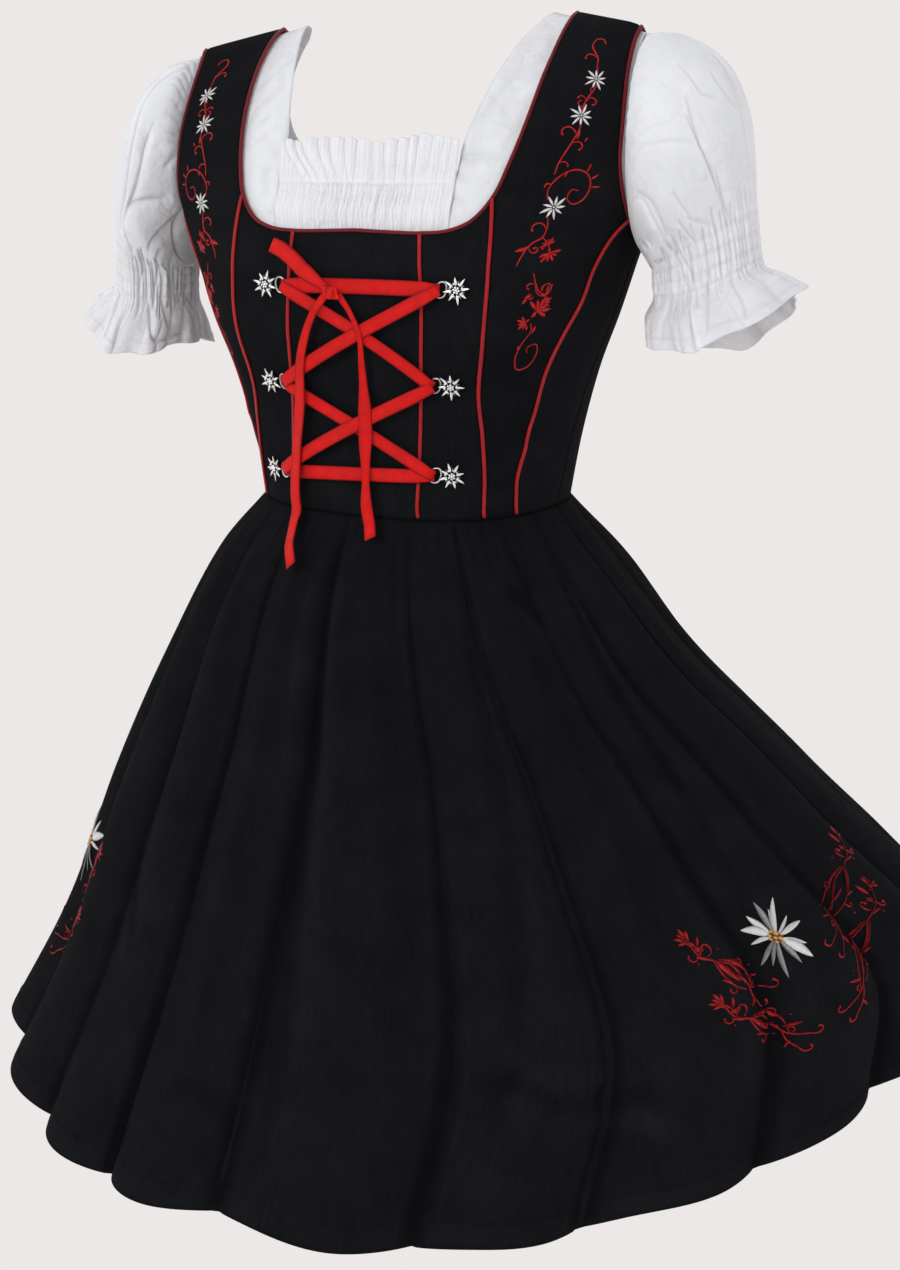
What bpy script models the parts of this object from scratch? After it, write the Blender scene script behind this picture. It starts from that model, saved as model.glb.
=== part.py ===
# A dirndl dress with its white blouse, filled out as it is worn.
# Metres, Z up, the front looks towards -Y. Heights are counted from the waist seam,
# angles in degrees from the centre front, positive towards the garment's left.
import bpy
import numpy as np

# The shoulder line, where the garment is held, is the origin.
SHOULDER_POINT = np.array([0.0, 0.030, 0.392])

GAP = 0.0003
SEAM = GAP / 2
CLOTH = 0.0020
BLOUSE_CLOTH = 0.0012
SKIRT_CLOTH = 0.0015
BLOUSE_OUT = -0.0042
CHEST = 0.205
TOP = 0.400
SQUARE = 0.035

# height, half width, front depth, back depth
FORM = np.array([
    (0.000, 0.134, 0.112, 0.090),
    (0.060, 0.146, 0.113, 0.094),
    (0.115, 0.161, 0.116, 0.099),
    (0.155, 0.176, 0.121, 0.103),
    (0.205, 0.193, 0.124, 0.107),
    (0.260, 0.213, 0.124, 0.107),
    (0.310, 0.221, 0.124, 0.107),
    (0.360, 0.217, 0.124, 0.107),
    (0.400, 0.208, 0.124, 0.107),
])

# Seams of the bodice, from the waist up: angle, height
INNER_SEAM = [(23.5, 0.0), (22.6, 0.036), (20.0, 0.095), (17.6, 0.155), (14.8, 0.215), (14.0, 0.2330)]
CUP_SEAM = [(49.0, 0.0), (47.0, 0.030), (42.5, 0.066), (38.0, 0.100), (36.0, 0.140),
            (33.6, 0.180), (31.0, 0.220), (28.0, 0.2600)]
SIDE_FRONT_SEAM = [(64.0, 0.0), (61.5, 0.030), (61.2, 0.060), (61.0, 0.090), (60.5, 0.123), (62.0, 0.151),
                   (65.0, 0.178), (65.8, 0.205), (67.5, 0.226), (70.0, 0.2365), (73.5, 0.2450)]
BACK_SEAM = [(143.0, 0.0), (142.0, 0.050), (140.0, 0.100), (136.5, 0.150), (131.0, 0.200),
             (123.5, 0.245), (115.0, 0.2840)]
SIDE_SEAM_TOP = 0.2210

# Edge of the dress neckline from centre front to the shoulder: angle, height
NECK_FRONT = [(0.0, 0.2345), (7.0, 0.2335), (14.0, 0.2330), (20.0, 0.2350), (24.5, 0.2420), (28.0, 0.2600),
            (29.8, 0.285), (31.5, 0.315), (33.0, 0.340), (34.8, 0.368), (36.2, 0.388), (37.0, 0.400)]
NECK_INNER = 2
NECK_CORNER = 5
# and from the shoulder to centre back
NECK_BACK = [(143.0, 0.400), (139.0, 0.380), (136.6, 0.355), (136.6, 0.330), (138.6, 0.305),
             (142.6, 0.280), (148.6, 0.261), (156.5, 0.251), (168.0, 0.2465), (180.0, 0.246)]

# Edge of the armhole from the front of the shoulder under the arm to its back: angle, height
ARMHOLE = [(72.0, 0.400), (67.5, 0.388), (64.0, 0.370), (62.0, 0.345), (61.3, 0.318), (62.0, 0.295),
           (65.5, 0.272), (73.5, 0.245), (81.5, 0.229), (90.0, 0.2210), (98.0, 0.2220), (107.0, 0.243),
           (115.0, 0.284), (117.0, 0.315), (116.5, 0.345), (113.5, 0.372), (111.0, 0.388), (108.0, 0.400)]
ARM_SIDE_FRONT = 7
ARM_SIDE = 9
ARM_BACK = 12

# The skirt below the waist: share of the length, half width to the garment's left and right,
# front depth, back depth, drop, how much the left side lifts
SKIRT = np.array([
    (0.00, 0.134, 0.134, 0.112, 0.090, 0.000, 0.000),
    (0.12, 0.178, 0.178, 0.147, 0.130, 0.050, 0.000),
    (0.30, 0.248, 0.231, 0.198, 0.188, 0.147, 0.004),
    (0.50, 0.352, 0.280, 0.254, 0.250, 0.256, 0.016),
    (0.75, 0.472, 0.328, 0.322, 0.326, 0.387, 0.034),
    (1.00, 0.482, 0.394, 0.396, 0.395, 0.511, 0.052),
])
# How the hem rises and falls round the skirt: angle, height
HEM = [(-180, 0.0), (-90, 0.008), (-62, 0.024), (-46, 0.013), (-32, 0.007), (-20, 0.006), (-10, 0.009), (3, 0.013),
       (14, -0.005), (26, -0.006), (34, -0.010), (42, 0.001), (52, 0.003), (64, 0.022), (76, 0.038), (90, 0.032),
       (115, 0.008), (140, 0.0), (180, 0.0)]
# Broad fullness of the skirt: angle and its width, share of the length and its height, depth
SWELLS = [(92.0, 22.0, 0.40, 0.16, 0.007), (-78.0, 24.0, 0.10, 0.12, 0.003), (84.0, 16.0, 0.74, 0.10, 0.006)]
# Soft pleats round the skirt from centre back over the right side: width in degrees, depth
PLEATS = [(19, 1.0), (16, 0.8), (21, 1.1), (16, 0.9), (18, 1.0),
          (20, 1.2), (15, 0.8), (19, 1.0), (17, 0.9), (19, 1.1),
          (21, 1.1), (16, 0.8), (19, 1.0), (16, 0.9), (18, 1.2),
          (18, 1.0), (16, 0.8), (20, 1.1), (17, 0.9), (19, 1.0)]
# share of the skirt's length, depth of a pleat of depth 1
PLEAT_DEPTH = np.array([(0.0, 0.0020), (0.12, 0.0075), (0.35, 0.0130), (0.7, 0.0190), (1.0, 0.0240)])
# How far the hem rises where a pleat stands out, as a share of the pleat
LEVELLING = 0.28
PLEAT_COLUMNS = 6
SKIRT_ROWS = [0.0, 0.04, 0.12, 0.24, 0.40, 0.60, 0.80, 1.0]

# The left sleeve: x and height on the outer side, x and height under the arm, centre y, half depth,
# depth of the waves, how much lower the back edge lies than the front, how much both hang below the sides
SLEEVE = np.array([
    (0.2120, 0.3680, 0.2020, 0.2150, 0.000, 0.0560, 0.0, 0.0, 0.0),
    (0.2360, 0.3670, 0.2065, 0.2095, -0.003, 0.0690, 0.0, 0.0, 0.0),
    (0.2670, 0.3500, 0.2100, 0.2060, -0.006, 0.0740, 0.0, 0.0, 0.0),
    (0.2880, 0.3170, 0.2130, 0.2030, -0.010, 0.0730, 0.0005, 0.0, 0.0),
    (0.2960, 0.2750, 0.2155, 0.2000, -0.014, 0.0630, 0.0010, 0.001, 0.0),
    (0.2990, 0.2320, 0.2180, 0.1970, -0.017, 0.0470, 0.0012, 0.001, 0.002),
    (0.3040, 0.2060, 0.2190, 0.1780, -0.017, 0.0460, 0.0012, 0.002, 0.009),
    (0.3190, 0.1980, 0.2140, 0.1620, -0.018, 0.0570, 0.0026, 0.008, 0.018),
    (0.3340, 0.1900, 0.2200, 0.1490, -0.020, 0.0680, 0.0042, 0.016, 0.030),
])
SLEEVE_COLUMNS = 40
CUFF_WAVES = 8
ARM_INSET = 0.0065

RIGHT_TILT = 0.25
RIGHT_SAG = 0.70
# How the rings of the right sleeve hang closer to the body and lower than those of the left one:
# inwards under the arm and on the outer side, downwards under the arm and on the outer side
RIGHT_SHIFT = np.array([
    (0.0, 0.0, 0.0, 0.0),
    (0.0, 0.001, 0.0, 0.002),
    (0.0, 0.006, 0.0, 0.007),
    (0.0, 0.021, 0.002, 0.012),
    (0.001, 0.0285, 0.005, 0.015),
    (0.002, 0.0275, 0.008, 0.019),
    (0.003, 0.0265, 0.012, 0.025),
    (0.001, 0.0265, 0.015, 0.028),
    (-0.003, 0.0275, 0.020, 0.030),
    (0.002, 0.0300, 0.026, 0.031),
])
# How the form stands: height, turn in degrees. The left shoulder also stands a little higher.
TWIST = np.array([(-0.18, 0.0), (0.0, -5.0), (0.10, -1.0), (0.19, 2.5), (0.26, 2.0), (0.40, 0.0)])
LEFT_SHOULDER_RISE = 0.085

# The blouse: angle, height
BLOUSE_HEM = 0.130
BLOUSE_FRONT_SEAM = [(22.0, 0.130), (20.5, 0.180), (19.5, 0.235), (18.8, 0.270), (18.6, 0.299)]
BLOUSE_NECK_SIDE = [(19.0, 0.310), (21.5, 0.343), (25.0, 0.372), (28.2, 0.391), (30.0, 0.400)]
BLOUSE_NECK_BACK = [(150.0, 0.400), (143.8, 0.380), (140.4, 0.355), (140.3, 0.325), (144.0, 0.296),
                    (152.5, 0.275), (165.0, 0.268), (180.0, 0.267)]
# height, how far the gathered front stands off the form, depth of its waves
RUFFLE = np.array([
    (0.130, -0.0042, 0.0), (0.185, -0.0042, 0.0), (0.238, -0.0042, 0.0), (0.252, -0.0020, 0.0012),
    (0.268, -0.0034, 0.0014), (0.276, -0.0018, 0.0022), (0.287, 0.0014, 0.0030), (0.299, 0.0050, 0.0038),
])
RUFFLE_WAVES = 12

# Rows of the lacing: angle and height of each edelweiss hook
HOOKS = [("top_left", 25.2, 0.190), ("middle_left", 28.6, 0.113), ("bottom_left", 34.1, 0.0385),
         ("top_right", -21.9, 0.190), ("middle_right", -26.8, 0.109), ("bottom_right", -32.4, 0.0310)]
HOOK_RADIUS = 0.0118
LOOP_SHIFT = 0.0129
RIBBON_WIDTH = 0.0125
RIBBON_CLOTH = 0.0010
RIBBON_LAYERS = [0.0040, 0.0056, 0.0072, 0.0088, 0.0104, 0.0117]
RIBBON_AT_KNOT = 0.0065
KNOT = (-3.9, 0.1870)

# Free tails of the ribbon: angle, height (below 0 they hang over the skirt)
TAIL_RIGHT = [(-5.2, 0.1865), (-8.6, 0.1720), (-11.0, 0.156), (-13.9, 0.130), (-15.7, 0.090), (-18.3, 0.045),
              (-18.6, 0.005), (-13.9, -0.020), (-9.4, -0.0385)]
TAIL_LEFT = [(-2.9, 0.1865), (0.2, 0.1710), (2.5, 0.155), (3.5, 0.130), (4.9, 0.090), (6.3, 0.045),
             (8.3, 0.005), (10.4, -0.012)]
BOW_LOOP = [(-4.8, 0.1895), (-10.2, 0.2035), (-15.4, 0.2165), (-17.6, 0.2195)]


def cubic(x, xs, ys):
    """Smooth curve through the points xs, ys."""
    xs = np.asarray(xs, float)
    ys = np.asarray(ys, float)
    x = np.clip(x, xs[0], xs[-1])
    slope = np.diff(ys) / np.diff(xs)
    tangent = np.concatenate([slope[:1], (slope[:-1] + slope[1:]) / 2, slope[-1:]])
    i = np.clip(np.searchsorted(xs, x) - 1, 0, len(xs) - 2)
    step = xs[i + 1] - xs[i]
    t = (x - xs[i]) / step
    return ((2 * t**3 - 3 * t**2 + 1) * ys[i] + (t**3 - 2 * t**2 + t) * step * tangent[i]
            + (3 * t**2 - 2 * t**3) * ys[i + 1] + (t**3 - t**2) * step * tangent[i + 1])


def resample(points, count, start=0, end=None, trim=0.0):
    """Even samples along a table of points, between two of its rows, less a length at the end."""
    table = np.asarray(points, float)
    end = len(table) - 1 if end is None else end
    scale = np.array([0.0028, 1.0])
    steps = np.linalg.norm(np.diff(table * scale, axis=0), axis=1)
    length = np.concatenate([[0.0], np.cumsum(steps)])
    at = np.linspace(length[start], length[end] - trim, count)
    return np.stack([cubic(at, length, table[:, k]) for k in range(table.shape[1])], -1)


def form(u, h):
    """Point on the outside of the bodice at angle u (degrees) and height h."""
    u, h = np.broadcast_arrays(np.radians(np.asarray(u, float)), np.asarray(h, float))
    low = np.minimum(h, CHEST)
    width = cubic(h, FORM[:, 0], FORM[:, 1])
    t = np.clip((h - CHEST) / (TOP - CHEST), 0, 1)
    front = cubic(low, FORM[:, 0], FORM[:, 2]) * (1 - t**1.55)**(1 / 1.5)
    back = cubic(low, FORM[:, 0], FORM[:, 3]) * (1 - t**2.2)**(1 / 1.7)
    across = (np.sin(u) + SQUARE * np.sin(3 * u)) / (1 - SQUARE)
    along = (np.cos(u) - SQUARE * np.cos(3 * u)) / (1 - SQUARE)
    x = width * across
    shoulder_y = 0.030 - 0.38 * np.maximum(np.abs(x) - 0.125, 0)
    shoulder_z = TOP - 0.25 * np.maximum(np.abs(x) - 0.10, 0) - np.maximum(np.abs(x) - 0.18, 0)**2
    fullness = 0.013 * np.exp(-((np.abs(u) - 0.66) / 0.34)**2) * np.exp(-((h - 0.165) / 0.055)**2)
    y = shoulder_y * t**1.5 - np.where(along > 0, front, back) * along - fullness * (along > 0)
    y = y - np.where(along > 0, SEAM, -SEAM) * t**6
    z = np.where(h <= CHEST, h, CHEST + (shoulder_z - CHEST) * t)
    return np.stack([x, y, z], -1)


def slopes(u, h):
    """Change of the form per degree and per metre of height."""
    du = 0.05
    dh = 0.0004
    high = np.minimum(np.asarray(h, float), TOP - dh)
    low = np.maximum(high - dh, 0)
    by_u = (form(u + du, high) - form(u - du, high)) / (2 * du)
    by_h = (form(u, high + dh) - form(u, low)) / (high + dh - low)[..., None]
    return by_u, by_h


def body(u, h, out=0.0):
    """Point on the form moved out along its normal."""
    u, h = np.broadcast_arrays(np.asarray(u, float), np.asarray(h, float))
    by_u, by_h = slopes(u, h)
    normal = np.cross(by_u, by_h)
    normal[..., 1] *= np.clip((TOP - h) / 0.004, 0, 1)
    normal /= np.linalg.norm(normal, axis=-1, keepdims=True)
    return form(u, h) + normal * np.asarray(out, float)[..., None]


def inset(points, distance):
    """Curve moved sideways in the cloth, to the left of its direction seen from outside."""
    uv = np.asarray(points, float)
    by_u, by_h = slopes(uv[:, 0], uv[:, 1])
    step = np.gradient(uv, axis=0)
    along = by_u * step[:, :1] + by_h * step[:, 1:]
    along /= np.linalg.norm(along, axis=1, keepdims=True)
    normal = np.cross(by_u, by_h)
    normal /= np.linalg.norm(normal, axis=1, keepdims=True)
    side = np.cross(normal, along) * distance
    moved = []
    for a, b, want, start in zip(by_u, by_h, side, uv):
        solution = np.linalg.lstsq(np.stack([a, b], 1), want, rcond=None)[0]
        moved.append(start + solution)
    moved = np.array(moved)
    moved[:, 1] = np.minimum(moved[:, 1], TOP)
    return moved


def skirt(u, s, out=0.0):
    """Point of the skirt at angle u (degrees) and share s of its length."""
    u, s = np.broadcast_arrays(np.asarray(u, float), np.asarray(s, float))
    columns = [cubic(s, SKIRT[:, 0], SKIRT[:, k]) for k in range(1, 7)]
    left, right, front, back, drop, lift = columns
    edges = np.concatenate([[0.0], np.cumsum([width for width, _ in PLEATS])]) - 180.0
    depths = np.array([depth for _, depth in PLEATS])
    turn = np.mod(u + 180.0, 360.0) - 180.0
    i = np.clip(np.searchsorted(edges, turn, side="right") - 1, 0, len(PLEATS) - 1)
    phase = (turn - edges[i]) / (edges[i + 1] - edges[i])
    lobe = np.sin(np.pi * phase)**0.8 - 0.62
    depth = depths[i] * cubic(s, PLEAT_DEPTH[:, 0], PLEAT_DEPTH[:, 1])
    angle = np.radians(u)
    square = SQUARE * (1 - 1.45 * s)
    across = (np.sin(angle) + square * np.sin(3 * angle)) / (1 - square)
    along = (np.cos(angle) - square * np.cos(3 * angle)) / (1 - square)
    push = depth * lobe + out
    for middle, wide, share, high, full in SWELLS:
        push = push + full * np.exp(-((turn - middle) / wide)**2 - ((s - share) / high)**2)
    x = np.where(across > 0, left, right) * across + push * np.sin(angle)
    y = -np.where(along > 0, front, back) * along - push * np.cos(angle)
    hem = cubic(turn, [row[0] for row in HEM], [row[1] for row in HEM])
    level = LEVELLING * depth * lobe * s**2
    z = -drop + lift * np.maximum(np.sin(angle), 0)**1.3 + hem * s**2 + level - GAP / 2
    return np.stack([x, y, z], -1)


def mirrored(points):
    return np.asarray(points, float) * np.array([-1.0, 1.0, 1.0])


def posed(points):
    """Points of the straight form, turned and lifted as the form stands."""
    x, y, z = np.asarray(points, float).T
    turn = np.radians(cubic(z, TWIST[:, 0], TWIST[:, 1]))
    rise = LEFT_SHOULDER_RISE * np.clip(x - 0.04, 0, 0.15) * np.clip((z - 0.20) / 0.14, 0, 1)**2
    return np.stack([x * np.cos(turn) - y * np.sin(turn), x * np.sin(turn) + y * np.cos(turn), z + rise], 1)


def grid_faces(rows, columns, closed=False):
    faces = []
    for r in range(rows - 1):
        for c in range(columns if closed else columns - 1):
            d = (c + 1) % columns
            faces.append((r * columns + c, r * columns + d, (r + 1) * columns + d, (r + 1) * columns + c))
    return faces


def weld(points, faces):
    """Merge points that lie in one place."""
    keys = {}
    where = []
    kept = []
    for index, point in enumerate(points):
        key = tuple(np.round(point * 100000).astype(int))
        if key not in keys:
            keys[key] = len(kept)
            kept.append(index)
        where.append(keys[key])
    renamed = [tuple(where[i] for i in face) for face in faces]
    return kept, renamed


def add_object(name, vertices, faces, colour, roughness=0.8, metallic=0.0):
    mesh = bpy.data.meshes.new(name)
    placed = posed(vertices) - SHOULDER_POINT
    mesh.from_pydata([tuple(v) for v in placed], [], faces)
    mesh.validate()
    made = bpy.data.objects.new(name, mesh)
    bpy.context.scene.collection.objects.link(made)
    material = bpy.data.materials.new(name)
    material.use_nodes = True
    shader = material.node_tree.nodes["Principled BSDF"]
    shader.inputs["Base Color"].default_value = (*colour, 1.0)
    shader.inputs["Roughness"].default_value = roughness
    shader.inputs["Metallic"].default_value = metallic
    mesh.materials.append(material)
    return made


def cloth(name, outer, inner, faces, colour):
    """Closed wall between an outer and an inner layer of the same faces."""
    count = len(outer)
    edges = {}
    for face in faces:
        for a, b in zip(face, face[1:] + face[:1]):
            edges[(a, b)] = True
    walls = [tuple(face) for face in faces]
    walls += [tuple(i + count for i in reversed(face)) for face in faces]
    for a, b in edges:
        if (b, a) not in edges:
            walls.append((b, a, a + count, b + count))
    return add_object(name, np.concatenate([outer, inner]), walls, colour)


def ruled(left, right, columns, bow=None):
    """Rows of angle and height between two edges that have one point a row."""
    share = np.linspace(0, 1, columns)[None, :, None]
    rows = left[:, None, :] * (1 - share) + right[:, None, :] * share
    if bow is not None:
        rows[..., 1] += bow
    return rows


def panel(name, rows, colour, mirror=False, out=0.0, thickness=CLOTH):
    """Bodice or blouse panel from a grid of angles and heights."""
    outer = body(rows[..., 0], rows[..., 1], out).reshape(-1, 3)
    inner = body(rows[..., 0], rows[..., 1], out - thickness).reshape(-1, 3)
    faces = grid_faces(rows.shape[0], rows.shape[1])
    if mirror:
        outer, inner = mirrored(outer), mirrored(inner)
        faces = [tuple(reversed(face)) for face in faces]
    return cloth(name, outer, inner, faces, colour)


def tube(name, path, ups, half_width, half_height, colour, closed=False, sides=5):
    """Cord of oval section along a path, its short axis along the given directions."""
    path = np.asarray(path, float)
    if closed:
        along = np.roll(path, -1, 0) - np.roll(path, 1, 0)
    else:
        along = np.gradient(path, axis=0)
    along /= np.linalg.norm(along, axis=1, keepdims=True)
    side = np.cross(along, ups)
    side /= np.linalg.norm(side, axis=1, keepdims=True)
    rise = np.cross(side, along)
    turn = np.linspace(0, 2 * np.pi, sides, endpoint=False)
    rings = (path[:, None] + side[:, None] * (half_width * np.cos(turn))[None, :, None]
             + rise[:, None] * (half_height * np.sin(turn))[None, :, None])
    count = len(path)
    faces = []
    for r in range(count if closed else count - 1):
        n = (r + 1) % count
        for c in range(sides):
            d = (c + 1) % sides
            faces.append((r * sides + c, r * sides + d, n * sides + d, n * sides + c))
    if not closed:
        faces.append(tuple(reversed(range(sides))))
        faces.append(tuple((count - 1) * sides + c for c in range(sides)))
    return outward(add_object(name, rings.reshape(-1, 3), faces, colour))


def outward(made):
    """Turn the faces of a closed body to look out."""
    mesh = made.data
    volume = 0.0
    for face in mesh.polygons:
        corners = [np.array(mesh.vertices[i].co) for i in face.vertices]
        for a, b in zip(corners[1:-1], corners[2:]):
            volume += np.dot(corners[0], np.cross(a, b))
    if volume < 0:
        mesh.flip_normals()
    return made


def normals_at(uv):
    by_u, by_h = slopes(uv[:, 0], uv[:, 1])
    normal = np.cross(by_u, by_h)
    return normal / np.linalg.norm(normal, axis=1, keepdims=True)


BLACK = (0.018, 0.018, 0.022)
RED = (0.45, 0.02, 0.03)
RIBBON_RED = (0.70, 0.02, 0.03)
WHITE = (0.82, 0.83, 0.86)
SILVER = (0.55, 0.54, 0.52)
PIPING = 0.0017
EDGE = PIPING + 3 * GAP
SEAM_ROWS = 11


def seam_edges(table, count, trim):
    """The two sides of a seam: towards the centre front, and away from it."""
    line = resample(table, count, trim=trim)
    return inset(line, SEAM), inset(line, -SEAM)


def bow_to(grid, edge, power):
    """Bend the upper rows of a grid so that its top follows an edge."""
    order = np.argsort(edge[:, 0])
    bow = np.interp(grid[-1, :, 0], edge[order, 0], edge[order, 1]) - grid[-1, :, 1]
    bow[0] = bow[-1] = 0.0
    grid[..., 1] += np.linspace(0, 1, len(grid))[:, None]**power * bow[None, :]


def make_bodice():
    rows = SEAM_ROWS
    inner_left, inner_right = seam_edges(INNER_SEAM, rows, EDGE)
    cup_left, cup_right = seam_edges(CUP_SEAM, rows, 0.0062)
    side_left, side_right = seam_edges(SIDE_FRONT_SEAM, rows, 0.0030)
    back_left, back_right = seam_edges(BACK_SEAM, rows, 0.0034)
    waist = GAP / 2
    for edge in (inner_left, inner_right, cup_left, cup_right, side_left, side_right, back_left, back_right):
        edge[0, 1] = waist

    # centre front
    facing = inner_left * np.array([-1.0, 1.0])
    panel("bodice_front_centre", ruled(facing, inner_left, 6), BLACK)

    # hook panels, their top edge bowed along the neckline
    grid = ruled(inner_right, cup_left, 6)
    bow_to(grid, inset(resample(NECK_FRONT, 13, NECK_INNER, NECK_CORNER), -EDGE), 4)
    for side, mirror in (("left", False), ("right", True)):
        panel("bodice_front_" + side, grid, BLACK, mirror)

    # strap panels from the waist to the shoulder
    above = 9
    neck = inset(resample(NECK_FRONT, above + 1, NECK_CORNER), -EDGE)
    arm = inset(resample(ARMHOLE, above + 1, 0, ARM_SIDE_FRONT), -EDGE)[::-1]
    left_edge = np.concatenate([cup_right, neck])
    right_edge = np.concatenate([side_left, arm[:1] + (-0.35, 0.0012), arm[1:]])
    strap = ruled(left_edge, right_edge, 6)
    for side, mirror in (("left", False), ("right", True)):
        panel("bodice_strap_" + side, strap, BLACK, mirror)

    # side panels from the side-front seam to the side seam
    side_seam = np.stack([np.full(rows, 90.0), np.linspace(waist, SIDE_SEAM_TOP - EDGE, rows)], 1)
    grid = ruled(side_right, inset(side_seam, SEAM), 6)
    bow_to(grid, inset(resample(ARMHOLE, 9, ARM_SIDE_FRONT, ARM_SIDE), -EDGE), 3)
    for side, mirror in (("left", False), ("right", True)):
        panel("bodice_side_" + side, grid, BLACK, mirror)

    # back side panels from the side seam to the curved back seam
    grid = ruled(inset(side_seam, -SEAM), back_left, 7)
    bow_to(grid, inset(resample(ARMHOLE, 9, ARM_SIDE, ARM_BACK), -EDGE), 3)
    for side, mirror in (("left", False), ("right", True)):
        panel("bodice_back_side_" + side, grid, BLACK, mirror)

    # back panels from the waist to the shoulder, closed at the centre back
    arm = inset(resample(ARMHOLE, above + 1, ARM_BACK, len(ARMHOLE) - 1), -EDGE)
    low = rows - 4
    neck = inset(resample(NECK_BACK, above + 5), -EDGE - GAP)[::-1]
    centre = np.stack([np.full(low, 180.0), np.linspace(waist, NECK_BACK[-1][1] - EDGE, low)], 1)
    centre = inset(centre, SEAM)
    left_edge = np.concatenate([back_right, arm[1:]])
    right_edge = np.concatenate([centre, neck[1:]])
    grid = ruled(left_edge, right_edge, 6)
    for side, mirror in (("left", False), ("right", True)):
        panel("bodice_back_" + side, grid, BLACK, mirror)


def make_pipings():
    # round the neckline, one closed ring
    half = np.concatenate([resample(NECK_FRONT, 23), resample(NECK_BACK, 14)[1:]])
    line = body(half[:, 0], half[:, 1], -CLOTH / 2)
    ups = normals_at(half)
    ring = np.concatenate([line, mirrored(line[1:-1])[::-1]])
    ring_ups = np.concatenate([ups, mirrored(ups[1:-1])[::-1]])
    tube("piping_neckline", ring, ring_ups, PIPING, PIPING, RED, closed=True)

    # round the armholes
    loop = resample(ARMHOLE, 31)
    line = body(loop[:, 0], loop[:, 1], -CLOTH / 2)[:-1]
    ups = normals_at(loop)[:-1]
    tube("piping_armhole_left", line, ups, PIPING, PIPING, RED, closed=True)
    tube("piping_armhole_right", mirrored(line), mirrored(ups), PIPING, PIPING, RED, closed=True)

    # on the seams, just outside the panels
    seams = (("inner", INNER_SEAM), ("cup", CUP_SEAM), ("side_front", SIDE_FRONT_SEAM), ("back", BACK_SEAM))
    for word, table in seams:
        uv = resample(table, SEAM_ROWS)
        uv[0, 1] = 0.0022
        uv[-1, 1] -= 0.0036
        if word == "side_front":
            uv[-1] += (-1.3, 0.0022)
        if word == "back":
            uv[-1] += (0.9, 0.0)
        ups = normals_at(uv)
        line = body(uv[:, 0], uv[:, 1], 2 * GAP + 0.0011)
        tube("piping_" + word + "_left", line, ups, 0.0017, 0.0011, RED)
        tube("piping_" + word + "_right", mirrored(line), mirrored(ups), 0.0017, 0.0011, RED)


def grid_normals(points, closed):
    by_row = np.gradient(points, axis=0)
    if closed:
        by_column = np.roll(points, -1, 1) - np.roll(points, 1, 1)
    else:
        by_column = np.gradient(points, axis=1)
    normal = np.cross(by_column, by_row)
    return normal / np.linalg.norm(normal, axis=-1, keepdims=True)


def make_skirt():
    edges = np.concatenate([[0.0], np.cumsum([width for width, _ in PLEATS])]) - 180.0
    angles = []
    for a, b in zip(edges[:-1], edges[1:]):
        angles += list(a + (b - a) * np.arange(PLEAT_COLUMNS) / PLEAT_COLUMNS)
    angles = np.array(angles)
    shares = np.array(SKIRT_ROWS)[:, None]
    outer = skirt(angles[None, :], shares)
    normal = -grid_normals(outer, True)
    inner = outer - normal * SKIRT_CLOTH
    inner[0, :, 2] = outer[0, :, 2]
    outer = np.concatenate([outer, outer[:, :1]], 1)
    inner = np.concatenate([inner, inner[:, :1]], 1)
    quarter = 5 * PLEAT_COLUMNS
    spans = (("skirt_back_right", 0, quarter), ("skirt_front", quarter, 3 * quarter),
             ("skirt_back_left", 3 * quarter, 4 * quarter))
    for name, first, last in spans:
        a = outer[:, first:last + 1].copy()
        b = inner[:, first:last + 1].copy()
        for layer in (a, b):
            start = a[:, 1] - a[:, 0]
            end = a[:, -1] - a[:, -2]
            layer[:, 0] += start / np.linalg.norm(start, axis=1, keepdims=True) * SEAM
            layer[:, -1] -= end / np.linalg.norm(end, axis=1, keepdims=True) * SEAM
        faces = [tuple(reversed(face)) for face in grid_faces(a.shape[0], a.shape[1])]
        cloth(name, a.reshape(-1, 3), b.reshape(-1, 3), faces, BLACK)


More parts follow.
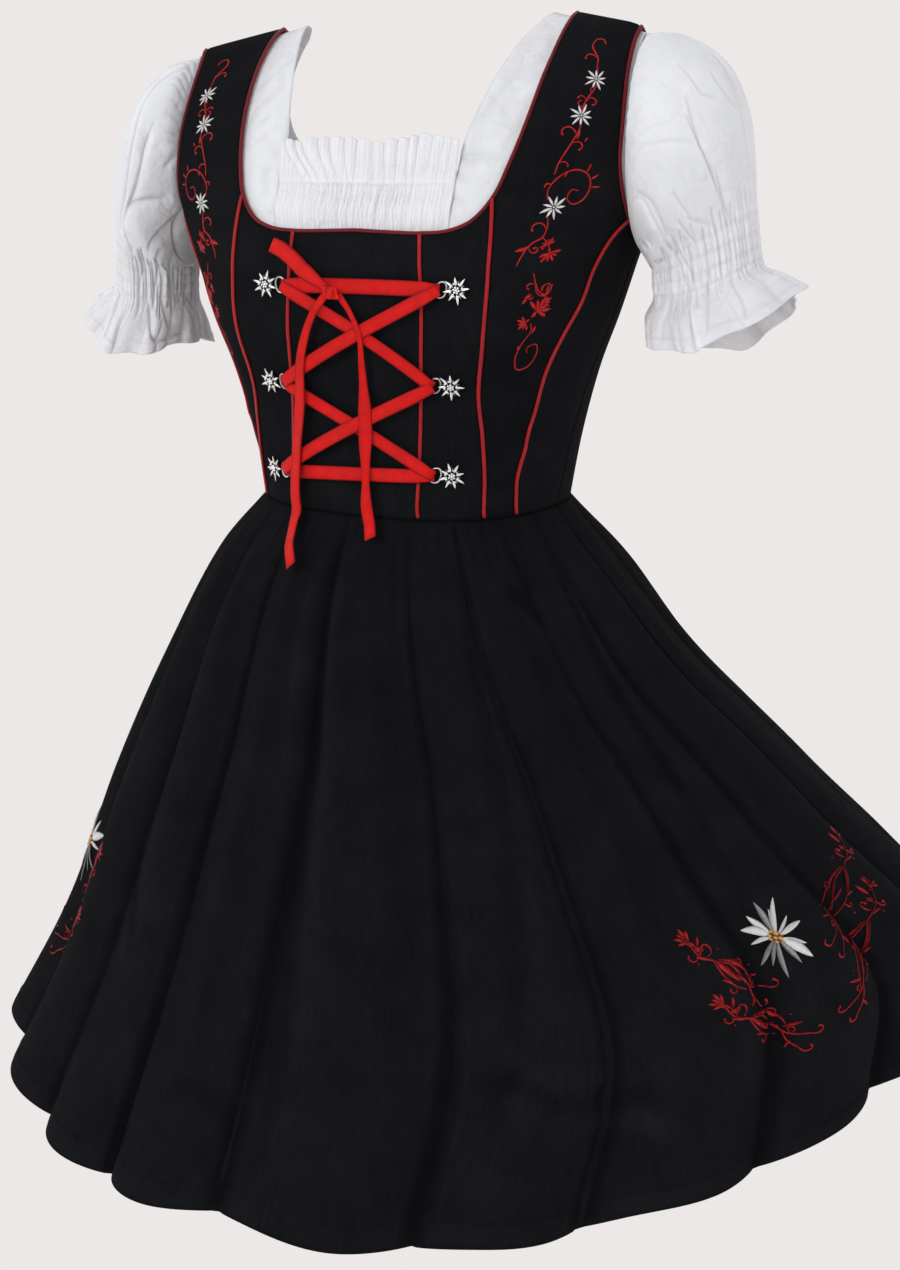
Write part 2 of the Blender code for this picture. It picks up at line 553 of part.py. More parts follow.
def make_blouse():
    rows = 7
    seam = resample(BLOUSE_FRONT_SEAM, rows)
    centre = inset(seam, 3 * SEAM)

    # gathered front with its own ruffle above the elastic
    columns = RUFFLE_WAVES * 3 + 1
    heights = RUFFLE[:, 0]
    edge = np.interp(heights, centre[:, 1], centre[:, 0])
    share = np.linspace(-1, 1, columns)
    u = edge[:, None] * share[None, :]
    h = np.repeat(heights[:, None], columns, 1)
    wave = np.cos(np.pi * RUFFLE_WAVES * (share + 1))
    fade = np.minimum((1 - np.abs(share)) * 9, 1.0)
    stand = RUFFLE[:, 1:2] + (RUFFLE[:, 2:3] * wave[None, :] - (RUFFLE[:, 1:2] - BLOUSE_OUT) * (1 - fade)) * 1.0
    h[-1] += 0.0016 * wave * fade
    outer = body(u, h, stand)
    inner = body(u, h, stand - BLOUSE_CLOTH)
    cloth("blouse_front", outer.reshape(-1, 3), inner.reshape(-1, 3), grid_faces(len(heights), columns), WHITE)

    # side fronts, smooth from the hem over the chest to the shoulder
    low = 4
    high = 9
    under = np.stack([np.full(low, 90.0), np.linspace(BLOUSE_HEM, SIDE_SEAM_TOP + ARM_INSET - GAP, low)], 1)
    arm = inset(resample(ARMHOLE, high + 1, 0, ARM_SIDE)[::-1], GAP - ARM_INSET)
    arm[0] = under[-1]
    right_edge = np.concatenate([under, arm[1:]])
    right_edge[:low, 0] -= 0.09
    inner_line = np.concatenate([resample(BLOUSE_FRONT_SEAM, 7), np.array(BLOUSE_NECK_SIDE)])
    inner_line = inset(resample(inner_line, low + high), -3 * SEAM)
    inner_line[0, 1] = BLOUSE_HEM
    inner_line[-1] = (30.1, TOP)
    grid = ruled(inner_line, right_edge, 6)
    for word, mirror in (("left", False), ("right", True)):
        panel("blouse_side_front_" + word, grid, WHITE, mirror, BLOUSE_OUT, BLOUSE_CLOTH)

    # back in one piece with both shoulders
    arm = inset(resample(ARMHOLE, high + 1, ARM_SIDE, len(ARMHOLE) - 1), ARM_INSET - GAP)
    arm[0] = under[-1]
    left_edge = np.concatenate([under, arm[1:]])
    left_edge[:low, 0] += 0.09
    centre = np.stack([np.full(low, 180.0), np.linspace(BLOUSE_HEM, BLOUSE_NECK_BACK[-1][1], low)], 1)
    neck = resample(BLOUSE_NECK_BACK, high + 1)[::-1]
    right_edge = np.concatenate([centre, neck[1:]])
    grid = ruled(left_edge, right_edge, 7)
    outer = body(grid[..., 0], grid[..., 1], BLOUSE_OUT).reshape(-1, 3)
    inner = body(grid[..., 0], grid[..., 1], BLOUSE_OUT - BLOUSE_CLOTH).reshape(-1, 3)
    outer[np.abs(outer[:, 0]) < 0.00002, 0] = 0.0
    inner[np.abs(inner[:, 0]) < 0.00002, 0] = 0.0
    faces = grid_faces(grid.shape[0], grid.shape[1])
    count = len(outer)
    both = np.concatenate([outer, mirrored(outer)])
    both_in = np.concatenate([inner, mirrored(inner)])
    faces = faces + [tuple(i + count for i in reversed(face)) for face in faces]
    kept, faces = weld(both, faces)
    cloth("blouse_back", both[kept], both_in[kept], faces, WHITE)


def sleeve_rings(columns, tilted, sagging):
    """Rings of the left sleeve: the first lies in the armhole, angle 0 on the outer side."""
    turn = np.linspace(0, 2 * np.pi, columns, endpoint=False)
    rings = []
    for ox, oz, ix, iz, cy, depth, wave, tilt, sag in SLEEVE:
        middle = np.array([(ox + ix) / 2, cy, (oz + iz) / 2])
        reach = np.array([(ox - ix) / 2, 0.0, (oz - iz) / 2])
        ring = (middle + np.cos(turn)[:, None] * reach
                + np.sin(turn)[:, None] * np.array([0.0, -depth, tilt * tilted / 2]))
        ring[:, 2] -= sag * sagging * np.sin(turn)**2
        away = ring - middle
        away /= np.linalg.norm(away, axis=1, keepdims=True)
        ring = ring + away * (wave * np.cos(CUFF_WAVES * turn))[:, None]
        rings.append(ring)
    loop = inset(resample(ARMHOLE, 121), ARM_INSET)
    seam = body(loop[:, 0], loop[:, 1], BLOUSE_OUT + 0.0006)
    middle = seam.mean(0)
    angle = np.unwrap(np.arctan2(-(seam[:, 1] - middle[1]) / 0.056, (seam[:, 2] - middle[2]) / 0.08))
    order = np.argsort(np.mod(angle, 2 * np.pi))
    sorted_angle = np.mod(angle, 2 * np.pi)[order]
    first = np.stack([np.interp(turn, sorted_angle, seam[order, k], period=2 * np.pi) for k in range(3)], 1)
    first[:, 0] += 0.0010
    return np.array([first] + rings)


def hung_in(points):
    """The right sleeve hangs closer to the body than the left one, most at its cuff."""
    x = points[..., :1]
    inner = x.min(1, keepdims=True)
    share = (x - inner) / (x.max(1, keepdims=True) - inner)
    near_in, far_in, near_down, far_down = [column[:, None, None] for column in RIGHT_SHIFT.T]
    inward = near_in + (far_in - near_in) * share
    downward = near_down + (far_down - near_down) * share
    return points - np.concatenate([inward, 0 * inward, downward], -1)


def make_sleeve(name, outer, mirror):
    normal = grid_normals(outer, True)
    middle = outer.mean(1, keepdims=True)
    if ((outer - middle) * normal).sum() < 0:
        normal = -normal
    inner = outer - normal * BLOUSE_CLOTH
    a = outer.reshape(-1, 3)
    b = inner.reshape(-1, 3)
    if mirror:
        a, b = mirrored(a), mirrored(b)
    outward(cloth(name, a, b, grid_faces(outer.shape[0], SLEEVE_COLUMNS, True), WHITE))


def make_sleeves():
    make_sleeve("blouse_sleeve_left", sleeve_rings(SLEEVE_COLUMNS, 1.0, 1.0), False)
    make_sleeve("blouse_sleeve_right", hung_in(sleeve_rings(SLEEVE_COLUMNS, RIGHT_TILT, RIGHT_SAG)), True)


def frame_at(u, h, out):
    """Middle point, direction across and direction up on the bodice."""
    uv = np.array([[u, h]])
    by_u, by_h = slopes(uv[:, 0], uv[:, 1])
    normal = normals_at(uv)[0]
    across = by_u[0] / np.linalg.norm(by_u[0])
    rise = np.cross(normal, across)
    return body(u, h, out), across, rise, normal


def degree_at(u, h):
    """Length of one degree round the bodice at this place."""
    by_u, _ = slopes(np.array([u]), np.array([h]))
    return np.linalg.norm(by_u)


def make_hooks():
    petals = 8
    turn = np.linspace(0, 2 * np.pi, petals * 2, endpoint=False)
    reach = np.where(np.arange(petals * 2) % 2 == 0, 1.0, 0.62) * HOOK_RADIUS
    reach[::4] *= 1.06
    for word, u, h in HOOKS:
        middle, across, rise, normal = frame_at(u, h, 0.0)
        levels = ((0.0036, 1.0), (0.0046, 0.92), (0.0056, 0.42))
        rings = []
        for height, share in levels:
            flat = middle + across * (reach * share * np.cos(turn))[:, None] \
                + rise * (reach * share * np.sin(turn))[:, None]
            rings.append(flat + normal * height)
        points = np.concatenate(rings + [(middle + normal * 0.0008)[None], (middle + normal * 0.0062)[None]])
        size = petals * 2
        faces = []
        for r in range(2):
            for c in range(size):
                d = (c + 1) % size
                faces.append((r * size + c, r * size + d, (r + 1) * size + d, (r + 1) * size + c))
        for c in range(size):
            d = (c + 1) % size
            faces.append((3 * size, d, c))
            faces.append((3 * size + 1, 2 * size + c, 2 * size + d))
        outward(add_object("hook_" + word, points, faces, SILVER, 0.35, 1.0))

        # the eye of the hook, towards the centre front
        bend = np.linspace(0, 2 * np.pi, 10, endpoint=False)
        degree = degree_at(u, h)
        inward = -np.sign(u) * LOOP_SHIFT
        uv = np.stack([u + (0.0040 * np.cos(bend) + inward) / degree, h + 0.0060 * np.sin(bend)], 1)
        line = body(uv[:, 0], uv[:, 1], 0.0016)
        tube("eye_" + word, line, normals_at(uv), 0.0009, 0.0009, SILVER, closed=True)


def strip(name, path, ups, width, thickness, colour):
    """Flat ribbon along a path; the path is the middle of its underside."""
    path = np.asarray(path, float)
    along = np.gradient(path, axis=0)
    along /= np.linalg.norm(along, axis=1, keepdims=True)
    side = np.cross(along, ups)
    side /= np.linalg.norm(side, axis=1, keepdims=True)
    width = np.broadcast_to(np.asarray(width, float), (len(path),))
    rows = []
    for share in (-0.5, 0.0, 0.5):
        rows.append(path + side * (width * share)[:, None])
    under = np.stack(rows, 1)
    over = under + ups[:, None] * thickness
    faces = grid_faces(len(path), 3)
    made = cloth(name, over.reshape(-1, 3), under.reshape(-1, 3), faces, colour)
    return outward(made)


def ribbon_on_bodice(name, start, end, layer, samples=9):
    share = np.linspace(0, 1, samples)
    u = start[0] + (end[0] - start[0]) * share
    h = start[1] + (end[1] - start[1]) * share
    uv = np.stack([u, h], 1)
    out = np.full(samples, RIBBON_LAYERS[layer])
    line = body(u, h, out)
    strip(name, line, normals_at(uv), RIBBON_WIDTH, RIBBON_CLOTH, RIBBON_RED)


def hanging_point(u, h, out):
    if h >= 0.0:
        return body(u, h, out)
    share = np.interp(-h, SKIRT[:, 5], SKIRT[:, 0])
    return skirt(u, share, out)


def tail(name, table, layer, count):
    """Free end of the ribbon, narrow where it comes out of the knot."""
    uv = resample(table, count)
    out = RIBBON_LAYERS[layer]
    line = np.array([hanging_point(u, h, out + 0.0030 * max(0.0, 1 - h / 0.05) ** 2) for u, h in uv])
    high = np.stack([uv[:, 0], np.maximum(uv[:, 1], 0.002)], 1)
    ups = normals_at(high)
    along = np.gradient(line, axis=0)
    along /= np.linalg.norm(along, axis=1, keepdims=True)
    ups = ups - along * (ups * along).sum(1, keepdims=True)
    ups /= np.linalg.norm(ups, axis=1, keepdims=True)
    run = np.concatenate([[0.0], np.cumsum(np.linalg.norm(np.diff(line, axis=0), axis=1))])
    width = np.interp(run, [0.0, 0.020], [RIBBON_AT_KNOT, RIBBON_WIDTH])
    strip(name, line, ups, width, RIBBON_CLOTH, RIBBON_RED)


def make_ribbon():
    eyes = {}
    for word, u, h in HOOKS:
        degrees = (LOOP_SHIFT + 0.001) / degree_at(u, h)
        eyes[word] = (u - np.sign(u) * degrees, h)
    ribbon_on_bodice("ribbon_bar_top", eyes["top_right"], eyes["top_left"], 0)
    ribbon_on_bodice("ribbon_upper_down", eyes["top_right"], eyes["middle_left"], 1)
    ribbon_on_bodice("ribbon_upper_up", eyes["middle_right"], eyes["top_left"], 2)
    ribbon_on_bodice("ribbon_lower_down", eyes["middle_right"], eyes["bottom_left"], 1)
    ribbon_on_bodice("ribbon_lower_up", eyes["bottom_right"], eyes["middle_left"], 2)
    ribbon_on_bodice("ribbon_bar_bottom", eyes["bottom_right"], eyes["bottom_left"], 0)
    tail("ribbon_tail_right", TAIL_RIGHT, 3, 16)
    tail("ribbon_tail_left", TAIL_LEFT, 3, 15)
    tail("ribbon_bow_loop", BOW_LOOP, 4, 6)

    centre, across, rise, normal = frame_at(KNOT[0], KNOT[1], RIBBON_LAYERS[5])
    share = np.linspace(-1, 1, 5)
    line = centre + across * (0.0085 * share)[:, None] + normal * (0.0012 * (1 - share**2))[:, None]
    strip("ribbon_knot", line, np.repeat(normal[None], 5, 0), 0.0105, 0.0022, RIBBON_RED)


def main():
    for old in list(bpy.data.objects):
        bpy.data.objects.remove(old, do_unlink=True)
    make_bodice()
    make_pipings()
    make_skirt()
    make_blouse()
    make_sleeves()
    make_hooks()
    make_ribbon()


main()
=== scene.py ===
import bpy
import numpy as np
from mathutils import Matrix, Vector

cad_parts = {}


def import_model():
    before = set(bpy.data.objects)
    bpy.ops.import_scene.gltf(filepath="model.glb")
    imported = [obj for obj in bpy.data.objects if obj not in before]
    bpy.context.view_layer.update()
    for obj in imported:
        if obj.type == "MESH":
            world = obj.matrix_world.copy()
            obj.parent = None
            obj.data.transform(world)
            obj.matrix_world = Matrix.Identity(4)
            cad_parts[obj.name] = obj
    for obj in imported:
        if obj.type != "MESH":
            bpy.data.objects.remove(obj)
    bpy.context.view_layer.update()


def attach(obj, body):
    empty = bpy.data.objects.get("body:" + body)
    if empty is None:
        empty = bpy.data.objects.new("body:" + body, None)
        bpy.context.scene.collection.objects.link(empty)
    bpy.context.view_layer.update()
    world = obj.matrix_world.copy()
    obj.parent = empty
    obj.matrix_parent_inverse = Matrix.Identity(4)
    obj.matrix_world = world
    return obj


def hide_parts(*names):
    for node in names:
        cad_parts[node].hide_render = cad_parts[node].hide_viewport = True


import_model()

# Width of the lacing ribbon
SATIN = 0.0125
# Colour of the backdrop and of the floor
PALE = (0.839, 0.807, 0.799)
MM = 0.001
LEFT_AND_RIGHT = (("left", False), ("right", True))
OTHER_SIDE = np.array([-1.0, 1.0, 1.0])
FLIPPED_ANGLE = np.array([-1.0, 1.0])
# The shoulder line, where the garment is held, is the origin.
SHOULDER_POINT = np.array([0.0, 0.030, 0.392])

# Gap between neighbouring panels, and the half of it that each panel gives
GAP = 0.0003
SEAM = GAP / 2
# Thickness of the dress cloth, and how far the outside of the blouse lies off the form
CLOTH = 0.0020
BLOUSE_OUT = -0.0042
# Heights where the form starts to draw in towards the shoulders and where it ends on them
CHEST = 0.205
TOP = 0.400
# How far the rounds of the form are drawn out towards squares
SQUARE = 0.035
# Half the thickness of a piping, and how far the panels stop from its middle
PIPING = 0.0017
EDGE = 0.0014
# Millimetres of cloth to a degree round the bodice and round the skirt, and to the skirt's whole length
BODICE_DEGREE = 3.4
SKIRT_DEGREE = 6.0
SKIRT_LENGTH = 500.0


def heights(rows):
    """Rows of an angle and a height in millimetres, as degrees and metres."""
    return np.array(rows, float) * (1.0, MM)


# The form in millimetres: height, half width, front depth, back depth
FORM = MM * np.array([
    (0, 134, 112, 90), (60, 146, 113, 94), (115, 161, 116, 99), (155, 176, 121, 103), (205, 193, 124, 107),
    (260, 213, 124, 107), (310, 221, 124, 107), (360, 217, 124, 107), (400, 208, 124, 107),
])

# Seams of the bodice, from the waist up: angle, height
INNER_SEAM = heights([
    (23.5, 0), (22.6, 36), (20, 95), (17.6, 155), (14.8, 215), (14, 233),
])
CUP_SEAM = heights([
    (49, 0), (47, 30), (42.5, 66), (38, 100), (36, 140), (33.6, 180), (31, 220), (28, 260),
])
SIDE_FRONT_SEAM = heights([
    (64, 0), (61.5, 30), (61.2, 60), (61, 90), (60.5, 123), (62, 151), (65, 178), (65.8, 205), (67.5, 226),
    (70, 236.5), (73.5, 245),
])
BACK_SEAM = heights([
    (143, 0), (142, 50), (140, 100), (136.5, 150), (131, 200), (123.5, 245), (115, 284),
])
# Height of the bodice under the arm
SIDE_SEAM_TOP = 0.2210

# Edge of the dress neckline from centre front to the shoulder, and from the shoulder to centre back
NECK_FRONT = heights([
    (0, 234.5), (7, 233.5), (14, 233), (20, 235), (24.5, 242), (28, 260), (29.8, 285), (31.5, 315),
    (33, 340), (34.8, 368), (36.2, 388), (37, 400),
])
# Rows of this edge where the inner seam and the cup seam meet it
NECK_INNER = 2
NECK_CORNER = 5
NECK_BACK = heights([
    (143, 400), (139, 380), (136.6, 355), (136.6, 330), (138.6, 305), (142.6, 280), (148.6, 261),
    (156.5, 251), (168, 246.5), (180, 246),
])

# Edge of the armhole from the front of the shoulder under the arm to its back
ARMHOLE = heights([
    (72, 400), (67.5, 388), (64, 370), (62, 345), (61.3, 318), (62, 295), (65.5, 272), (73.5, 245),
    (81.5, 229), (90, 221), (98, 222), (107, 243), (115, 284), (117, 315), (116.5, 345), (113.5, 372),
    (111, 388), (108, 400),
])
# Rows of this edge where the side front seam, the side seam and the back seam meet it
ARM_SIDE_FRONT = 7
ARM_SIDE = 9
ARM_BACK = 12

# The skirt below the waist: share of the length and, in millimetres, half width to the garment's left and
# right, front depth, back depth, drop, how much the left side lifts
SKIRT = (1, MM, MM, MM, MM, MM, MM) * np.array([
    (0, 134, 134, 112, 90, 0, 0),
    (0.12, 178, 178, 147, 130, 50, 0),
    (0.3, 248, 231, 198, 188, 147, 4),
    (0.5, 352, 280, 254, 250, 256, 16),
    (0.75, 472, 328, 322, 326, 387, 34),
    (1, 482, 394, 396, 395, 511, 52),
])
# How the hem rises and falls round the skirt: angle, height
HEM = heights([
    (-180, 0), (-90, 8), (-62, 24), (-46, 13), (-32, 7), (-20, 6), (-10, 9), (3, 13), (14, -5), (26, -6),
    (34, -10), (42, 1), (52, 3), (64, 22), (76, 38), (90, 32), (115, 8), (140, 0), (180, 0),
])
# Broad fullness of the skirt: angle and its width, share of the length and its height, depth
SWELLS = [(92.0, 22.0, 0.40, 0.16, 0.007), (-78.0, 24.0, 0.10, 0.12, 0.003), (84.0, 16.0, 0.74, 0.10, 0.006)]
# Soft pleats round the skirt from centre back over the right side: width in degrees, depth
PLEATS = np.array([
    (19, 1), (16, 0.8), (21, 1.1), (16, 0.9), (18, 1), (20, 1.2), (15, 0.8), (19, 1), (17, 0.9), (19, 1.1),
    (21, 1.1), (16, 0.8), (19, 1), (16, 0.9), (18, 1.2), (18, 1), (16, 0.8), (20, 1.1), (17, 0.9), (19, 1),
])
PLEAT_EDGES = np.concatenate([[0.0], np.cumsum(PLEATS[:, 0])]) - 180.0
# share of the skirt's length, depth of a pleat of depth 1
PLEAT_DEPTH = heights([(0, 2), (0.12, 7.5), (0.35, 13), (0.7, 19), (1, 24)])
# How far the hem rises where a pleat stands out, as a share of the pleat
LEVELLING = 0.28

# The left sleeve in millimetres: x and height on the outer side, x and height under the arm, centre y, half
# depth, depth of the waves, how much lower the back edge lies than the front, how much both hang down
SLEEVE = MM * np.array([
    (212, 368, 202, 215, 0, 56, 0, 0, 0),
    (236, 367, 206.5, 209.5, -3, 69, 0, 0, 0),
    (267, 350, 210, 206, -6, 74, 0, 0, 0),
    (288, 317, 213, 203, -10, 73, 0.5, 0, 0),
    (296, 275, 215.5, 200, -14, 63, 1, 1, 0),
    (299, 232, 218, 197, -17, 47, 1.2, 1, 2),
    (304, 206, 219, 178, -17, 46, 1.2, 2, 9),
    (319, 198, 214, 162, -18, 57, 2.6, 8, 18),
    (334, 190, 220, 149, -20, 68, 4.2, 16, 30),
])
CUFF_WAVES = 8
# How far inside the edge of the dress's armhole the sleeve of the blouse is set in
ARM_INSET = 0.0065
# Shares of the left sleeve's tilt and sag that the right one has
RIGHT_TILT = 0.25
RIGHT_SAG = 0.70
# How the rings of the right sleeve hang closer to the body and lower than those of the left one, in
# millimetres: inwards under the arm and on the outer side, downwards under the arm and on the outer side
RIGHT_SHIFT = MM * np.array([
    (0, 0, 0, 0), (0, 1, 0, 2), (0, 6, 0, 7), (0, 21, 2, 12), (1, 28.5, 5, 15), (2, 27.5, 8, 19),
    (3, 26.5, 12, 25), (1, 26.5, 15, 28), (-3, 27.5, 20, 30), (2, 30, 26, 31),
])
# How the form stands: height, turn in degrees. The left shoulder also stands a little higher.
TWIST = np.array([(-0.18, 0.0), (0.0, -5.0), (0.10, -1.0), (0.19, 2.5), (0.26, 2.0), (0.40, 0.0)])
LEFT_SHOULDER_RISE = 0.085

# The blouse: height of its lower edge under the bodice, and its seams and edges as angle and height
BLOUSE_HEM = 0.130
BLOUSE_FRONT_SEAM = heights([
    (22, 130), (20.5, 180), (19.5, 235), (18.8, 270), (18.6, 299),
])
BLOUSE_NECK_SIDE = heights([
    (19, 310), (21.5, 343), (25, 372), (28.2, 391), (30, 400),
])
BLOUSE_NECK_BACK = heights([
    (150, 400), (143.8, 380), (139.8, 355), (138.4, 325), (140.6, 298), (147.5, 277), (162, 268),
    (180, 267),
])
# In millimetres: height, how far the gathered front stands off the form
RUFFLE = MM * np.array([
    (130, -4.2), (185, -4.2), (238, -4.2), (252, -2), (268, -3.4), (276, -1.8), (287, 1.4), (299, 5),
])

# Rows of the lacing: angle and height of each edelweiss hook
HOOKS = [("top_left", 25.2, 0.190), ("middle_left", 28.6, 0.113), ("bottom_left", 34.1, 0.0385),
         ("top_right", -21.9, 0.190), ("middle_right", -26.8, 0.109), ("bottom_right", -32.4, 0.0310)]
# How far the eye for the ribbon lies from the middle of its hook
LOOP_SHIFT = 0.0129
# How far the ribbon's middle lies off the cloth where it crosses itself
RIBBON_LAYERS = [0.0045, 0.0061, 0.0077, 0.0093, 0.0109]
# Angle and height of the bow's knot
KNOT = (-3.9, 0.1870)
# Points across the ribbon
RIBBON_COLUMNS = 9
# Stretches of the lacing: name, from eye, to eye, layer, width as a share
LACING = (("bar_top", "top_right", "top_left", 0, 1.0), ("upper_down", "top_right", "middle_left", 1, 0.90),
          ("upper_up", "middle_right", "top_left", 2, 0.90),
          ("lower_down", "middle_right", "bottom_left", 1, 0.90),
          ("lower_up", "bottom_right", "middle_left", 2, 0.90),
          ("bar_bottom", "bottom_right", "bottom_left", 0, 0.95))

# Free tails of the ribbon: angle, height (below 0 they hang over the skirt)
TAIL_RIGHT = heights([
    (-5.2, 186.5), (-8.6, 172), (-11, 156), (-13.9, 130), (-15.7, 90), (-18.3, 45), (-18.6, 5),
    (-13.9, -20), (-9.4, -38.5),
])
TAIL_LEFT = heights([
    (-2.9, 186.5), (0.2, 171), (2.5, 155), (3.5, 130), (4.9, 90), (6.3, 45), (8.3, 5), (10.4, -12),
])
BOW_LOOP = heights([
    (-4.8, 189.5), (-10.2, 203.5), (-15.4, 216.5), (-17.6, 219.5),
])
# Width of the free ends along their length, as a share of the ribbon's full width
TAIL_RIGHT_WIDTHS = [
    (0, 0.52), (0.1, 0.5), (0.28, 0.72), (0.42, 0.98), (0.8, 1), (1, 1),
]
TAIL_LEFT_WIDTHS = [
    (0, 0.5), (0.08, 0.36), (0.22, 0.34), (0.38, 0.56), (0.48, 0.9), (0.6, 0.96), (0.7, 0.66), (0.78, 0.5),
    (0.88, 0.82), (1, 0.92),
]

# Soft creases of the worn cloth, in millimetres: start x, y, end x, y, bow, width, depth, and
# how much wider the crease is on one side. On the bodice x is the angle times BODICE_DEGREE, y the height.
BODICE_CREASES = [
    (172, 30, 292, 52, 5, 7, -1, 1.6), (180, 58, 276, 46, -4, 5.5, 1.1, 1.4),
    (165, 90, 250, 70, 6, 8, -0.9, 1.5), (120, 14, 215, 20, 3, 5, 1, 1.2),
    (205, 215, 292, 165, 10, 8, -1.1, 1.7), (228, 225, 305, 190, 6, 6, 1.2, 1.3),
    (40, 120, 110, 104, 4, 6, -0.7, 1.5), (-30, 60, 75, 72, -4, 6, -0.7, 1.3),
    (-60, 24, 60, 15, 2, 5, 0.8, 1.5), (-110, 150, -30, 142, 3, 7, -0.6, 1.4),
    (-172, 36, -290, 50, -5, 6.5, -1, 1.5), (-180, 62, -270, 74, 6, 6, 1, 1.4),
    (-205, 205, -290, 160, -8, 8, -1.1, 1.6), (430, 30, 600, 44, 6, 8, -1, 1.5),
    (440, 75, 585, 60, -5, 7, 1.1, 1.4), (-430, 40, -598, 30, 5, 8, -1, 1.4),
    (-420, 120, -560, 90, 8, 9, 1, 1.5), (400, 200, 520, 130, 10, 9, -1, 1.6),
    (-400, 210, -500, 150, 8, 9, -1, 1.4),
]
# Small creases of the skirt: x is the angle times SKIRT_DEGREE, y the share of its length in SKIRT_LENGTH
SKIRT_CREASES = [
    (140, 388, 196, 402, 6, 7, -3.4, 1.6), (180, 404, 262, 420, 8, 8, -3.8, 1.5),
    (214, 414, 276, 446, 6, 9, 2.8, 1.4), (-60, 420, 10, 446, 6, 9, -2.6, 1.5),
    (330, 180, 410, 236, 10, 11, -2.8, 1.6), (280, 60, 350, 94, 6, 8, -2.4, 1.6),
    (-230, 300, -150, 352, 10, 11, -2.8, 1.5), (620, 300, 700, 344, 10, 11, -3, 1.5),
    (820, 200, 900, 262, 12, 12, -3, 1.5), (-700, 260, -600, 310, 12, 12, -3, 1.5),
    (-940, 330, -860, 370, 10, 11, -2.8, 1.5),
]
# Long folds of the skirt: angle at the waist, angle at the hem, width in degrees, depth in millimetres, share
# of the length where it starts and ends, how much wider it is on one side
SKIRT_FOLDS = [
    (-43, -27, 3.6, -5, 0.04, 1, 1.9), (-36, -19, 3, 3.4, 0.1, 1, 1.4),
    (-30, -8, 3.2, -4.2, 0.02, 0.96, 1.8), (-10, -7, 2.8, -4.6, 0, 0.98, 1.7),
    (-5, -1, 2.4, 3, 0.04, 0.86, 1.4), (-1, 4, 2.8, -4.8, 0, 1, 0.6), (0, 9, 2.4, 3.6, 0.02, 0.92, 1.5),
    (13, 18, 2.6, -3.6, 0.12, 1, 1.8), (20, 21, 2.2, 2.6, 0.02, 0.7, 1.4),
    (38, 23, 2.8, -3.4, 0.04, 0.98, 0.6), (33, 33, 3, 2.6, 0.2, 0.9, 1.4),
    (52, 44, 2.8, -4.4, 0.04, 1, 1.8), (57, 51, 2.4, 3.2, 0.1, 0.88, 1.4), (72, 52, 3, -4.6, 0.03, 1, 0.6),
    (66, 63, 3.2, -3.6, 0.14, 0.94, 1.6), (84, 72, 3.4, -4.6, 0, 1, 1.7), (92, 80, 3, 3.6, 0.05, 0.9, 1.4),
    (101, 96, 3.4, -4.8, 0.02, 1, 1.6), (118, 112, 3.2, -4, 0, 0.95, 0.6),
    (131, 129, 3, 3.4, 0.04, 0.85, 1.4), (143, 139, 3.2, -4.4, 0, 1, 1.7),
    (160, 156, 3, -3.6, 0.06, 0.95, 0.6), (172, 176, 3.4, 3, 0.03, 0.9, 1.5),
    (-62, -50, 3.4, -4.4, 0, 1, 0.6), (-76, -70, 3, 3.4, 0.05, 0.86, 1.4), (-89, -84, 3.4, -4.8, 0, 1, 1.7),
    (-108, -104, 3.2, -4, 0.04, 0.96, 0.6), (-126, -120, 3, 3.2, 0.02, 0.88, 1.4),
    (-140, -137, 3.4, -4.6, 0, 1, 1.7), (-158, -155, 3.2, -3.6, 0.05, 0.96, 0.6),
]
# Folds along curves, in millimetres: points of the curve, width, depth, and how much wider the
# fold is on one side. On the blouse x is the angle times BODICE_DEGREE and y the height.
BLOUSE_FOLDS = [
    ([(-70.7, 330), (-65.3, 302), (-57, 280)], 3.4, -1.8, 0.6),
    ([(-113, 350), (-100, 357)], 2.2, -1.2, 1.3), ([(-102, 335), (-88, 343)], 2.4, -1.2, 1.3),
    ([(-97.5, 318), (-82, 326)], 2.2, -1.1, 1.3), ([(-93, 304), (-80, 311)], 2.2, -1, 1.3),
    ([(-79, 290), (-77.5, 272), (-75.5, 258)], 5, -1.6, 1),
    ([(-76, 245), (-64, 252), (-50, 261)], 3, -1.3, 1.2),
    ([(-101, 372), (-90, 355), (-81.6, 336)], 4, -1.2, 1.4),
    ([(51, 283), (60, 288), (75.1, 291.5), (97, 290)], 3, -2.1, 1.5),
    ([(56, 283), (63, 280), (71, 274)], 2.4, -1.4, 1.2),
    ([(52, 265), (64, 262), (76, 254)], 2.6, -1.2, 1.3),
    ([(67, 273), (80, 274.5), (90, 272.5)], 2, -0.9, 1.3),
    ([(66, 312), (82.3, 338), (97.9, 368)], 5.5, -1.7, 1.6),
    ([(93, 296), (100, 311), (103, 324)], 3, -1, 1.2), ([(96, 334), (106, 342), (115, 344)], 4.5, 1.1, 1.2),
    ([(109, 360), (112, 372), (111.5, 386)], 3.6, -1.2, 1.2),
    ([(505, 372), (550, 322), (610, 280)], 7, -1.4, 1.5),
    ([(520, 330), (556, 292), (600, 268)], 6, 1.4, 1.4),
    ([(-505, 360), (-548, 312), (-600, 276)], 7, -1.4, 1.6),
]
